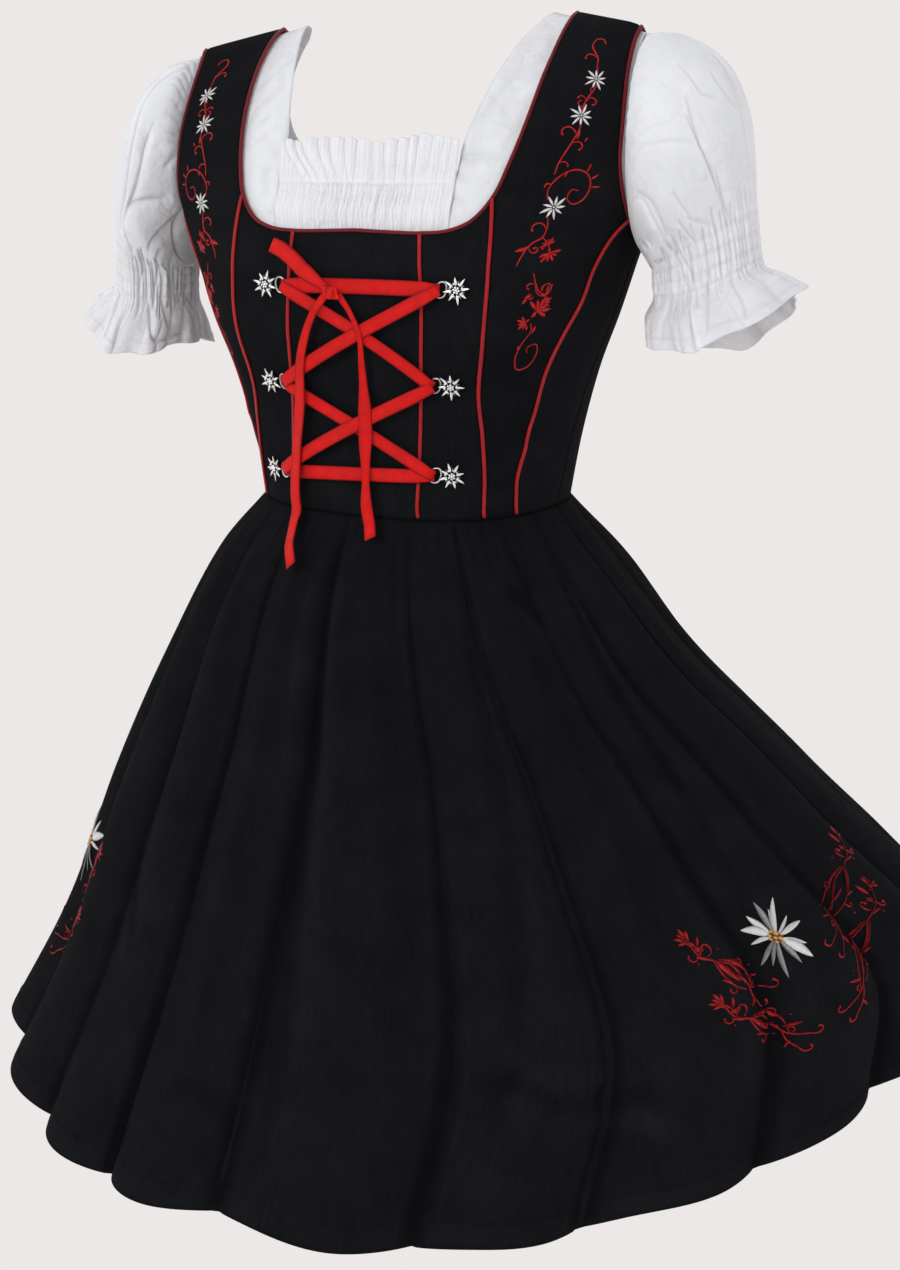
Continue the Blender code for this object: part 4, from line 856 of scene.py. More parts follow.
def tube_mesh(path, ups, profile, closed=False):
    """Points, faces and cloth coordinates of a profile swept along a path.
    profile is a list of rows: across, up; or an array with one such list a point of the path."""
    along = unit(np.roll(path, -1, 0) - np.roll(path, 1, 0) if closed else np.gradient(path, axis=0))
    side = unit(np.cross(along, ups))
    rise = np.cross(side, along)
    if profile.ndim == 2:
        profile = np.repeat(profile[None], len(path), 0)
    rings = path[:, None] + side[:, None] * profile[..., :1] + rise[:, None] * profile[..., 1:]
    count, sides = rings.shape[:2]
    faces = []
    for r in range(count if closed else count - 1):
        n = (r + 1) % count
        for c in range(sides):
            d = (c + 1) % sides
            faces.append((r * sides + d, r * sides + c, n * sides + c, n * sides + d))
    if not closed:
        faces.append(tuple(range(sides)))
        faces.append(tuple((count - 1) * sides + c for c in reversed(range(sides))))
    uv = np.stack(np.broadcast_arrays(profile[..., 0], run_along(path)[:, None]), -1)
    return rings.reshape(-1, 3), faces, uv.reshape(-1, 2)


def circle(sides):
    """Angles round a circle."""
    return np.linspace(0, 2 * np.pi, sides, endpoint=False)


def oval(sides, half_width, half_height):
    return np.stack([half_width * np.cos(circle(sides)), half_height * np.sin(circle(sides))], 1)


def joined(parts):
    """One set of points, faces and coordinates from several."""
    points, faces, coordinates = [], [], []
    start = 0
    for p, f, uv in parts:
        points.append(p)
        coordinates.append(uv)
        faces += [tuple(i + start for i in face) for face in f]
        start += len(p)
    return np.concatenate(points), faces, np.concatenate(coordinates)


def add_parts(name, parts, material, nodes=()):
    points, faces, uv = joined(parts)
    return add_mesh(name, points, faces, material, nodes, uv)


def set_stops(ramp, stops):
    """Places and colours of a colour ramp."""
    elements = ramp.color_ramp.elements
    while len(elements) < len(stops):
        elements.new(0.5)
    for element, (place, colour) in zip(elements, stops):
        element.position = place
        element.color = (*colour, 1.0)


class Look:
    """A material built node by node, ending in one Principled shader."""

    def __init__(self, name, roughness, **sockets):
        self.material = bpy.data.materials.new(name)
        self.material.use_nodes = True
        self.tree = self.material.node_tree
        self.shader = self.tree.nodes["Principled BSDF"]
        self.shader.inputs["Roughness"].default_value = roughness
        for socket, value in sockets.items():
            self.shader.inputs[socket.replace("_", " ")].default_value = value

    def node(self, kind, settings=None, **inputs):
        """A node with its inputs by name, or by number as n0, n1 and so on."""
        made = self.tree.nodes.new("ShaderNode" + kind)
        for key, value in (settings or {}).items():
            setattr(made, key, value)
        for key, value in inputs.items():
            numbered = key[0] == "n" and key[1:].isdigit()
            socket = made.inputs[int(key[1:]) if numbered else key.replace("_", " ")]
            if isinstance(value, bpy.types.NodeSocket):
                self.tree.links.new(value, socket)
            else:
                socket.default_value = value
        return made

    def cloth_place(self):
        return self.node("UVMap", {"uv_map": "cloth"}).outputs[0]

    def object_place(self):
        return self.node("TexCoord").outputs["Object"]

    def math(self, operation, a, b=0.5, c=0.0):
        return self.node("Math", {"operation": operation}, n0=a, n1=b, n2=c).outputs[0]

    def noise(self, place, scale, detail=3.0, stretch=None):
        if stretch is not None:
            place = self.node("Mapping", Vector=place, Scale=stretch).outputs[0]
        return self.node("TexNoise", Vector=place, Scale=scale, Detail=detail, Roughness=0.6).outputs[0]

    def bands(self, place, axis, pitch, distortion=0.0):
        """Threads side by side at a pitch in metres: 0 to 1."""
        settings = {"wave_type": "BANDS", "bands_direction": axis}
        return self.node("TexWave", settings, Vector=place, Scale=np.pi / (10 * pitch), Distortion=distortion,
                         Detail=1.0, Detail_Scale=1.5).outputs[1]

    def weave(self, place, pitch):
        """Plain weave: threads that pass over and under each other."""
        warp = self.math("SUBTRACT", self.bands(place, "X", pitch, 0.4))
        weft = self.math("SUBTRACT", self.bands(place, "Y", pitch * 1.06, 0.4))
        return self.math("MULTIPLY_ADD", self.math("MULTIPLY", warp, weft), 2.0, 0.5)

    def ramp(self, value, stops):
        made = self.node("ValToRGB", Fac=value)
        set_stops(made, stops)
        return made.outputs[0]

    def colour(self, socket, hollow=0.0):
        """Base colour, darker in the hollows of the cloth and lighter on its ridges by a share: painted shade
        in the folds and painted light on their ridges. On ribbons the same darkening marks the selvedge.
        """
        if hollow:
            deep = self.node("Attribute", {"attribute_name": "hollow"}).outputs["Fac"]
            light = self.math("MULTIPLY_ADD", deep, -hollow, 1.0)
            socket = self.node("VectorMath", {"operation": "SCALE"}, n0=socket, Scale=light).outputs[0]
        self.tree.links.new(socket, self.shader.inputs["Base Color"])

    def relief(self, height, distance, below=None):
        """Relief of the surface, laid over another relief if one is given."""
        inputs = {"Strength": 1.0, "Distance": distance, "Height": height}
        if below is not None:
            inputs["Normal"] = below
        bump = self.node("Bump", **inputs)
        self.tree.links.new(bump.outputs[0], self.shader.inputs["Normal"])
        return bump.outputs[0]

    def rough(self, socket, low, high):
        made = self.node("MapRange", n0=socket, n3=low, n4=high)
        self.tree.links.new(made.outputs[0], self.shader.inputs["Roughness"])


def shade(colour, share):
    return tuple(min(1.0, part * share) for part in colour)


def cotton(name, colour, pitch, contrast, relief, roughness, crumple, hollow, **sockets):
    """Plain woven cotton with uneven threads, soft mottling and fine crumples of worn cloth."""
    look = Look(name, roughness, **sockets)
    place = look.cloth_place()
    weave = look.weave(place, pitch)
    slubs = look.noise(place, 1 / (pitch * 9), 2.0, (1.0, 0.18, 1.0))
    broad = look.noise(look.object_place(), 26.0, 4.0)
    height = look.math("MULTIPLY_ADD", slubs, 0.7, weave)
    tone = look.math("MULTIPLY_ADD", slubs, 0.45, look.math("MULTIPLY", broad, 0.55))
    # hollow: share of painted shade in the folds and painted light on their ridges
    look.colour(look.ramp(tone, [(0.30, shade(colour, 1 - contrast)), (0.70, shade(colour, 1 + contrast))]),
                hollow)
    large = look.math("ABSOLUTE", look.math("SUBTRACT", look.noise(look.object_place(), 17.0, 2.0)))
    small = look.math("ABSOLUTE", look.math("SUBTRACT", look.noise(look.object_place(), 46.0, 2.0)))
    crumples = look.math("MINIMUM", look.math("MULTIPLY_ADD", small, 0.4, large), 0.14)
    look.relief(height, relief, look.relief(crumples, crumple))
    look.rough(broad, roughness - 0.06, min(1.0, roughness + 0.06))
    return look.material


def satin(name, colour, pitch, roughness, **sockets):
    """Ribbon or bias strip: fine ribs across its length and a soft shine."""
    look = Look(name, roughness, **sockets)
    place = look.cloth_place()
    ribs = look.bands(place, "Y", pitch, 0.5)
    cross = look.bands(place, "X", pitch * 1.3, 0.3)
    wear = look.noise(look.object_place(), 90.0, 4.0)
    height = look.math("MULTIPLY_ADD", cross, 0.35, ribs)
    tone = look.math("MULTIPLY_ADD", ribs, 0.25, look.math("MULTIPLY", wear, 0.75))
    # share 0.55 of the darkening by the "hollow" attribute: the selvedge tone of the lacing, tails and bow
    # loop, and painted shade and light on the folds of the knot
    look.colour(look.ramp(tone, [(0.25, shade(colour, 0.74)), (0.75, shade(colour, 1.18))]), 0.55)
    look.relief(height, 0.00014)
    look.rough(wear, roughness - 0.07, roughness + 0.10)
    return look.material


def thread(name, dark, colour, bright, pitch, roughness, **sockets):
    """Embroidery thread laid side by side across a shape, with painted shade at its edges and a painted
    highlight along its middle.
    """
    look = Look(name, roughness, **sockets)
    place = look.cloth_place()
    laid = look.bands(place, "Y", pitch, 1.2)
    tangle = look.noise(look.object_place(), 260.0, 3.0)
    across = look.node("SeparateXYZ", Vector=place).outputs[0]
    # painted highlight and shade: the middle of each stroke, across 0, takes the bright end of the colours
    # and its edges the dark end, mixed with the laid threads and a random tangle
    full = look.math("SUBTRACT", 1.0, look.math("POWER", look.math("ABSOLUTE", across), 1.3))
    tone = look.math("MULTIPLY_ADD", laid, 0.22, look.math("MULTIPLY", tangle, 0.40))
    tone = look.math("MULTIPLY_ADD", full, 0.42, tone)
    look.colour(look.ramp(tone, [(0.25, dark), (0.60, colour), (0.88, bright)]))
    look.relief(laid, 0.00020)
    return look.material


def old_silver():
    """Cast hooks, dark in the hollows and rubbed bright on the high places."""
    look = Look("antique_silver", 0.30, Metallic=1.0)
    place = look.object_place()
    fine = look.noise(place, 700.0, 4.0)
    broad = look.noise(place, 160.0, 3.0)
    tone_and_shade = look.node("Attribute", {"attribute_name": "height"}).outputs["Fac"]
    rubbed = look.math("MULTIPLY_ADD", broad, 0.35, tone_and_shade)
    look.colour(look.ramp(rubbed, [(0.30, (0.006, 0.006, 0.006)), (0.62, (0.10, 0.10, 0.10)),
                                   (0.95, (0.98, 0.98, 0.97))]))
    look.relief(fine, 0.00006)
    look.rough(fine, 0.20, 0.46)
    return look.material


# hollow: share of painted shade in the folds and painted light on the ridges of the cloth
black = cotton("black_cotton", (0.0086, 0.0092, 0.0110), pitch=0.00042, contrast=0.30,
               relief=0.00016, roughness=0.90, crumple=0.004, hollow=0.34, Sheen_Weight=0.004,
               Sheen_Roughness=0.5, Specular_IOR_Level=0.02)
white = cotton("white_cotton", (0.866, 0.881, 0.920), pitch=0.00040, contrast=0.035,
               relief=0.00012, roughness=0.82, crumple=0.012, hollow=0.08, Sheen_Weight=0.12,
               Sheen_Roughness=0.5, Subsurface_Weight=0.12, Subsurface_Scale=0.004, Specular_IOR_Level=0.30)
piping_red = satin("red_piping", (0.42, 0.010, 0.014), pitch=0.00045, roughness=0.42,
                   Specular_IOR_Level=0.30)
piping_dark = satin("dark_piping", (0.17, 0.006, 0.012), pitch=0.00045, roughness=0.45,
                    Specular_IOR_Level=0.25)
ribbon_red = satin("red_ribbon", (0.66, 0.010, 0.009), pitch=0.00050, roughness=0.50,
                   Specular_IOR_Level=0.12)
# each thread: the darkest colour, used for painted shade at the edges; its own colour; the brightest, used
# for the painted highlight along the middle
red_thread = thread("red_thread", (0.05, 0.001, 0.001), (0.38, 0.004, 0.007), (0.80, 0.07, 0.07),
                    pitch=0.00042, roughness=0.45, Specular_IOR_Level=0.15)
deep_thread = thread("deep_thread", (0.014, 0.0006, 0.0006), (0.20, 0.002, 0.004), (0.74, 0.055, 0.065),
                     pitch=0.00042, roughness=0.50, Specular_IOR_Level=0.12)
white_thread = thread("white_thread", (0.42, 0.42, 0.43), (0.84, 0.84, 0.83), (1.0, 1.0, 1.0),
                      pitch=0.00042, roughness=0.42, Sheen_Weight=0.2)
grey_thread = thread("grey_thread", (0.06, 0.06, 0.07), (0.26, 0.26, 0.27), (0.62, 0.62, 0.63),
                     pitch=0.00042, roughness=0.42, Sheen_Weight=0.2)
yellow_thread = thread("yellow_thread", (0.20, 0.07, 0.015), (0.66, 0.33, 0.06), (0.90, 0.62, 0.22),
                       pitch=0.0005, roughness=0.45, Sheen_Weight=0.1)
brown_thread = thread("brown_thread", (0.02, 0.010, 0.008), (0.07, 0.025, 0.012), (0.16, 0.06, 0.03),
                      pitch=0.0005, roughness=0.5)
silver = old_silver()


def ruled(left, right, columns):
    """Rows of angle and height between two edges that have one point a row."""
    share = np.linspace(0, 1, columns)[None, :, None]
    return left[:, None, :] * (1 - share) + right[:, None, :] * share


def bow_to(grid, table, start, end, count, power):
    """Bend the upper rows of a grid so that its top follows an edge between two rows of its table."""
    edge = inset(resample(table, count, start, end), -EDGE)
    if start == 0:
        edge = np.concatenate([edge[::-1] * FLIPPED_ANGLE, edge])
    order = np.argsort(edge[:, 0])
    bow = np.interp(grid[-1, :, 0], edge[order, 0], edge[order, 1]) - grid[-1, :, 1]
    bow[0] = bow[-1] = 0.0
    grid[..., 1] += np.linspace(0, 1, len(grid))[:, None]**power * bow[None, :]


def seam_edges(table, count, trim):
    """The two sides of a seam: towards the centre front, and away from it."""
    line = resample(table, count, trim=trim)
    sides = inset(line, SEAM), inset(line, -SEAM)
    for side in sides:
        side[0, 1] = SEAM
    return sides


def run_across(grid):
    """Length from the first point of each row of a grid to its other points."""
    step = np.linalg.norm(np.diff(grid, axis=1), axis=2)
    return np.concatenate([np.zeros((len(grid), 1)), np.cumsum(step, 1)], 1)


def bodice_panel(node, grid, mirror=False):
    """A panel of the bodice, rolled in a little along its seams."""
    u, h = grid[..., 0], grid[..., 1]
    run = run_across(body(u, h))
    roll = -0.0006 * hump(np.minimum(run, run[:, -1:] - run), 0.0016)
    points = on_bodice(u, h, roll, mirror)
    facing = on_bodice(u, h, 0.01, mirror) - points
    shell(node + "_cloth", points, CLOTH, facing, black, [node], "stretched")


def make_bodice():
    rows, above = 61, 50
    # the last number is how far a seam stops below the edge that it runs into
    inner_left, inner_right = seam_edges(INNER_SEAM, rows, EDGE)
    cup_left, cup_right = seam_edges(CUP_SEAM, rows, 0.0050)
    side_left, side_right = seam_edges(SIDE_FRONT_SEAM, rows, 0.0022)
    back_left, back_right = seam_edges(BACK_SEAM, rows, 0.0026)

    centre = ruled(inner_left * FLIPPED_ANGLE, inner_left, 41)
    bow_to(centre, NECK_FRONT, 0, NECK_INNER, 25, 4)
    bodice_panel("bodice_front_centre", centre)

    front = ruled(inner_right, cup_left, 31)
    bow_to(front, NECK_FRONT, NECK_INNER, NECK_CORNER, 41, 4)

    neck = inset(resample(NECK_FRONT, above + 1, NECK_CORNER), -EDGE)
    arm = inset(resample(ARMHOLE, above + 1, 0, ARM_SIDE_FRONT), -EDGE)[::-1]
    under_arm = arm[:1] + (-0.10, 0.0010)
    right_edge = np.concatenate([side_left, under_arm, arm[1:]])
    strap = ruled(np.concatenate([cup_right, neck]), right_edge, 31)

    side_seam = np.stack([np.full(rows, 90.0), np.linspace(SEAM, SIDE_SEAM_TOP - EDGE, rows)], 1)
    side = ruled(side_right, inset(side_seam, SEAM), 25)
    bow_to(side, ARMHOLE, ARM_SIDE_FRONT, ARM_SIDE, 41, 3)
    back_side = ruled(inset(side_seam, -SEAM), back_left, 31)
    bow_to(back_side, ARMHOLE, ARM_SIDE, ARM_BACK, 41, 3)

    arm = inset(resample(ARMHOLE, above + 1, ARM_BACK), -EDGE)
    low = rows - 14
    neck = inset(resample(NECK_BACK, above + 15), -EDGE)[::-1]
    middle = np.stack([np.full(low, 180.0), np.linspace(SEAM, NECK_BACK[-1, 1] - EDGE, low)], 1)
    back = ruled(np.concatenate([back_right, arm[1:]]), np.concatenate([inset(middle, SEAM), neck[1:]]), 33)
    panels = (("front", front), ("strap", strap), ("side", side), ("back_side", back_side), ("back", back))
    for word, grid in panels:
        for way, mirror in LEFT_AND_RIGHT:
            bodice_panel(f"bodice_{word}_{way}", grid, mirror)


def cord_along(name, node, uv, out, half_width, half_height, mirror, material, closed=False):
    """A round piping along a line on the bodice."""
    path = on_bodice(uv[:, 0], uv[:, 1], out, mirror)
    ups = on_bodice(uv[:, 0], uv[:, 1], out + 0.004, mirror) - path
    if closed:
        path, ups = path[:-1], ups[:-1]
    profile = oval(12, half_width, half_height)
    add_parts(name, [tube_mesh(path, ups, profile, closed)], material, [node])


def make_pipings():
    half = np.concatenate([resample(NECK_FRONT, 111), resample(NECK_BACK, 61)[1:]])
    ring = np.concatenate([half, (half * FLIPPED_ANGLE)[::-1][1:]])
    edge = (-CLOTH / 2, PIPING, PIPING)
    cord_along("neckline_piping", "piping_neckline", ring, *edge, False, piping_dark, True)
    for way, mirror in LEFT_AND_RIGHT:
        cord_along("armhole_piping_" + way, "piping_armhole_" + way, resample(ARMHOLE, 141), *edge, mirror,
                   piping_dark, True)
    # how far the seam pipings stop above the waist and below the edge
    low, high_gap = 0.0022, 0.0012
    seams = (("inner", INNER_SEAM), ("cup", CUP_SEAM), ("side_front", SIDE_FRONT_SEAM), ("back", BACK_SEAM))
    for seam, table in seams:
        uv = resample(table, 71)
        # the columns of uv itself
        u, h = uv.T
        h[:] = low + (h - h[0]) * (h[-1] - high_gap - low) / (h[-1] - h[0])
        u += 0.55 * hump(h, 0.006)
        for way, mirror in LEFT_AND_RIGHT:
            cord_along(f"{seam}_seam_piping_{way}", f"piping_{seam}_{way}", uv, 0.0009, 0.0016, 0.0012,
                       mirror, piping_red)


# The turned hem and its row of stitches, up from the edge
HEM_DEPTH = 0.0200
HEM_STITCHES = 0.0185
# Length down the skirt's cloth, for the hem and for the stitches
SKIRT_RUN = 0.51
STITCHED_RUN = 0.511
# Panels of the skirt: the first and the last of their pleats, columns of points
SKIRT_PANELS = (("skirt_back_right", 0, 5, 150), ("skirt_front", 5, 15, 300),
                ("skirt_back_left", 15, 20, 150))


def make_skirt():
    """Three panels from seam to seam, with a turned hem."""
    shares = np.linspace(0, 1, 104)[:, None]**1.12
    from_hem = (1 - shares) * SKIRT_RUN
    plain = 1 - smooth(from_hem, HEM_STITCHES, HEM_DEPTH)
    edge = 1 - smooth(from_hem, 0.0, 0.0015)
    for node, first, last, columns in SKIRT_PANELS:
        u = np.linspace(PLEAT_EDGES[first], PLEAT_EDGES[last], columns)[None, :]
        seam = np.minimum(u - u[0, 0], u[0, -1] - u)
        points = on_skirt(u, shares, 0.0006 * plain - 0.0005 * edge - 0.0008 * hump(seam, 0.5))
        facing = on_skirt(u, shares, 0.01) - on_skirt(u, shares)
        thickness = (0.0011 + 0.0009 * plain)[..., None]
        shell(node + "_cloth", points, thickness, facing, black, [node], "gathered",
              coarse=2)


# The gathered front of the blouse: height of its elastic and of the ruffle's top, half its width
FRONT_ELASTIC = 0.2705
RUFFLE_EDGE = 0.299
FRONT_HALF = 63.0
BLOUSE_CLOTH = 0.0008
SLEEVE_CLOTH = 0.0009


def on_blouse(u, h, out, mirror=False):
    x = u * (-BODICE_DEGREE if mirror else BODICE_DEGREE)
    return world(body(u, h, BLOUSE_OUT + out + fold_lines(x, h / MM, BLOUSE_FOLDS)), mirror)


def ruffle_pleats(share, rise):
    """Rounded pleats between narrow valleys that lean as in the table: 0 to 1."""
    top, low, tall = RUFFLE_VALLEYS.T
    lobes = []
    for edges in top * rise[:, None] + low * (1 - rise[:, None]):
        i, phase = between(edges, share)
        lobes.append(tall[i] * np.sin(np.pi * phase)**0.8)
    return np.array(lobes)


def make_front_gathers():
    """The gathered front with its ruffle above the elastic."""
    rows, columns = 122, 321
    h = np.interp(np.linspace(0, 1, rows), [0.0, 0.12, 0.55, 1.0], [BLOUSE_HEM, 0.226, 0.264, RUFFLE_EDGE])
    seam = inset(resample(BLOUSE_FRONT_SEAM, 25), SEAM)
    edge = np.interp(h, seam[:, 1], seam[:, 0])[:, None]
    share = np.linspace(-1, 1, columns)
    pleats = ruffle_pleats(share, smooth(h, 0.270, RUFFLE_EDGE))
    h = h[:, None]
    stand = cubic(h, *RUFFLE.T) - BLOUSE_OUT
    # no waves at the side edges, small gathers above and below the elastic
    fade = np.minimum((1 - np.abs(share)) * 12, 1.0)
    above = smooth(h, FRONT_ELASTIC, 0.277)
    below = smooth(h, 0.222, 0.245) * (1 - smooth(h, 0.2695, 0.2725))
    place = (share + 1) / 2
    drift = 0.010 * np.sin(h * 260.0)
    fine = uneven(place + 0.3 * drift, 47, 13, 0.6) - 0.5
    finer = uneven(place - 0.5 * drift, 71, 14, 0.6) - 0.5
    # folds that run down from the elastic
    short = short_folds(17, 46, 2 * FRONT_HALF, 271.5, -30, 1.6, 1.6)
    gathers = fold_lines(share * FRONT_HALF, h / MM, short)
    # the pleats deepen towards the top, the sides lie smoother than the middle
    depth = cubic(h, [BLOUSE_HEM, 0.266, 0.272, 0.286, RUFFLE_EDGE], [0.0, 0.0, 0.0012, 0.0030, 0.0046])
    tucked = hump(h - FRONT_ELASTIC, 0.0016)
    lively = 0.35 + 0.65 * smooth(share, -0.75, -0.45) * (1 - smooth(share, 0.30, 0.62))
    soft = 0.55 + 0.45 * (1 - smooth(share, 0.45, 0.75))
    waves = depth * soft * (pleats - 0.45) + above * 0.0006 * fine
    waves = waves + lively * (below * (0.0018 * fine + 0.0010 * finer + gathers) - 0.0008 * tucked)
    out = BLOUSE_OUT + stand + waves * fade
    # the top edge rises and falls with the pleats
    scallop = np.interp(share, *RUFFLE_TOP.T)
    h = h + smooth(h, 0.284, RUFFLE_EDGE) * fade * (scallop + 0.0007 * (pleats - 0.5))
    u = edge * share
    points = world(body(u, h, out))
    facing = world(body(u, h, out + 0.01)) - points
    inner = world(body(u, h, minimum_around(out, False) - BLOUSE_CLOTH))
    shell("blouse_front_cloth", points, BLOUSE_CLOTH, facing, white, ["blouse_front"], "gathered",
          coarse=2, inner=inner, reach=2)


def minimum_around(values, closed):
    """The lowest value within two points of each point of a grid, so that the inner side stays inside."""
    low = values
    for axis in (0, 1):
        count = low.shape[axis]
        border = [(2, 2) if axis == k else (0, 0) for k in (0, 1)]
        wide = np.pad(low, border, "wrap" if closed and axis == 1 else "edge")
        low = np.min([np.take(wide, np.arange(k, k + count), axis) for k in range(5)], 0)
    return low


def blouse_panel(node, grid, mirror=False, hem_edge=False):
    u, h = grid[..., 0], grid[..., 1]
    rise = np.zeros(u.shape)
    if hem_edge:
        rise = 0.0005 * (1 - smooth(run_across(body(u, h)), 0.0062, 0.0070)) * smooth(h, 0.27, 0.28)
    points = on_blouse(u, h, rise, mirror)
    facing = on_blouse(u, h, 0.01, mirror) - on_blouse(u, h, 0.0, mirror)
    shell(node + "_cloth", points, BLOUSE_CLOTH, facing, white, [node], "stretched", coarse=2)


def make_blouse_body():
    low, high = 20, 72
    under_arm = SIDE_SEAM_TOP + ARM_INSET - GAP
    under = np.stack([np.full(low, 90.0), np.linspace(BLOUSE_HEM, under_arm, low)], 1)
    arm = inset(resample(ARMHOLE, high + 1, 0, ARM_SIDE)[::-1], GAP - ARM_INSET)
    arm[0] = under[-1]
    right_edge = np.concatenate([under, arm[1:]])
    right_edge[:low, 0] -= 0.05
    inner_line = np.concatenate([resample(BLOUSE_FRONT_SEAM, 7), BLOUSE_NECK_SIDE])
    inner_line = inset(resample(inner_line, low + high), -SEAM)
    inner_line[0, 1] = BLOUSE_HEM
    inner_line[-1] = (30.1, TOP)
    grid = ruled(inner_line, right_edge, 71)
    for way, mirror in LEFT_AND_RIGHT:
        blouse_panel("blouse_side_front_" + way, grid, mirror, True)

    arm = inset(resample(ARMHOLE, high, ARM_SIDE), ARM_INSET - GAP)[::-1]
    side = np.stack([np.full(low, 90.05), np.linspace(under_arm, BLOUSE_HEM, low + 1)[1:]], 1)
    hem = np.stack([np.linspace(90.05, 180.0, 31)[1:], np.full(30, BLOUSE_HEM)], 1)
    outer = np.concatenate([arm, side, hem])
    neck = resample(BLOUSE_NECK_BACK, 400)
    at = np.concatenate([np.linspace(0, 150, high), np.linspace(150, 205, low + 1)[1:],
                         np.linspace(205, 399, 31)[1:]])
    half = ruled(outer, neck[at.astype(int)], 36)
    other = half[-2::-1] * FLIPPED_ANGLE + np.array([360.0, 0.0])
    blouse_panel("blouse_back", np.concatenate([half, other]))


def dense_turns(columns):
    """Shares round a sleeve, closer together on its outer and front side."""
    even = np.linspace(0, 1, 721)
    density = 0.5 + smooth(np.cos(2 * np.pi * (even - 0.16)), -0.5, 0.2)
    total = np.concatenate([[0.0], np.cumsum((density[1:] + density[:-1]) / 2)])
    return np.interp(np.arange(columns) / columns, total / total[-1], even)


def sleeve_rings(shares, tilted, sagging):
    """Rings of the left sleeve: the first lies in the armhole, angle 0 on the outer side."""
    turn = 2 * np.pi * shares
    outer, front = np.cos(turn)[:, None], np.sin(turn)[:, None]
    loop = inset(resample(ARMHOLE, 241), ARM_INSET)
    seam = body(loop[:, 0], loop[:, 1], np.full(len(loop), BLOUSE_OUT + 0.0006))
    _, y, z = (seam - seam.mean(0)).T
    angle = np.mod(np.arctan2(-y / 0.056, z / 0.08), 2 * np.pi)
    order = np.argsort(angle)
    first = [np.interp(turn, angle[order], seam[order, k], period=2 * np.pi) for k in range(3)]
    rings = [np.stack(first, 1) + (0.0010, 0.0, 0.0)]
    for ox, oz, ix, iz, cy, depth, wave, tilt, sag in SLEEVE:
        middle = np.array([(ox + ix) / 2, cy, (oz + iz) / 2])
        reach = np.array([(ox - ix) / 2, 0.0, (oz - iz) / 2])
        ring = middle + outer * reach + front * np.array([0.0, -depth, tilt * tilted / 2])
        ring[:, 2] -= sag * sagging * np.sin(turn)**2
        rings.append(ring + unit(ring - middle) * (wave * np.cos(CUFF_WAVES * turn))[:, None])
    return np.array(rings)


def hung_in(points):
    """The right sleeve hangs closer to the body than the left one, most at its cuff."""
    x = points[..., :1]
    inner = x.min(1, keepdims=True)
    share = (x - inner) / (x.max(1, keepdims=True) - inner)
    near_in, far_in, near_down, far_down = RIGHT_SHIFT.T[..., None, None]
    inward = near_in + (far_in - near_in) * share
    downward = near_down + (far_down - near_down) * share
    return points - np.concatenate([inward, 0 * inward, downward], -1)


def sleeve_folds(a, x, t, seed, table):
    """Gathers, shirring and folds of a sleeve. a and x run round it from the outer side, t from ring
    to ring."""
    outer = np.cos(2 * np.pi * a)
    first, last = ELASTIC[0], ELASTIC[-1]

    def lobes(shift, count, own_seed, spread, middle=0.5):
        return uneven(a + shift * t, count, seed + own_seed, spread) - middle

    # gathers of the cap, broad fullness of the puff, and waves of the cuff
    cap = smooth(outer, -0.35, 0.5) * smooth(t, 0.10, 0.35) * (1 - smooth(t, 0.5, 1.6))
    total = 0.0016 * lobes(0.0, 44, 0, 0.45, 0.45) * cap
    total += 0.0010 * lobes(0.012, 9, 1, 0.5) * smooth(t, 0.6, 2.5) * (1 - smooth(t, 5.0, 5.6))
    total += 0.0026 * lobes(0.004, 17, 4, 0.5) * smooth(t, 7.1, 8.3)
    # the shirred bands between the rows of elastic
    shirred = smooth(t, first - 0.35, first) * (1 - smooth(t, last, last + 0.5))
    total += shirred * (0.0030 * lobes(-0.003, 31, 3, 0.6) + 0.0008)
    for k, (top, low) in enumerate(zip(ELASTIC[:-1], ELASTIC[1:])):
        band = smooth(t, top - 0.14, top + 0.14) * (1 - smooth(t, low - 0.14, low + 0.14))
        total += (0.0022 * lobes(0.0, 53, 10, 0.7, 0.4) + 0.0009 * lobes(0.0, 61, 11 + k, 0.7)) * band
    for row in ELASTIC:
        total -= 0.0005 * hump(t - row, 0.055)
    y = t * RING_STEP
    gathers = short_folds(seed + 5, 50, SLEEVE_ROUND, first * RING_STEP, -20, 2.0, 2.4)
    gathers += short_folds(seed + 6, 44, SLEEVE_ROUND, last * RING_STEP, 26, 2.1, 2.4)
    total += fold_lines(x, y, gathers, SLEEVE_ROUND)
    total *= 1 - 0.45 * smooth(-outer, 0.3, 0.9) * (1 - smooth(t, 5.5, 6.5))
    return total + fold_lines(x, y, table, SLEEVE_ROUND)


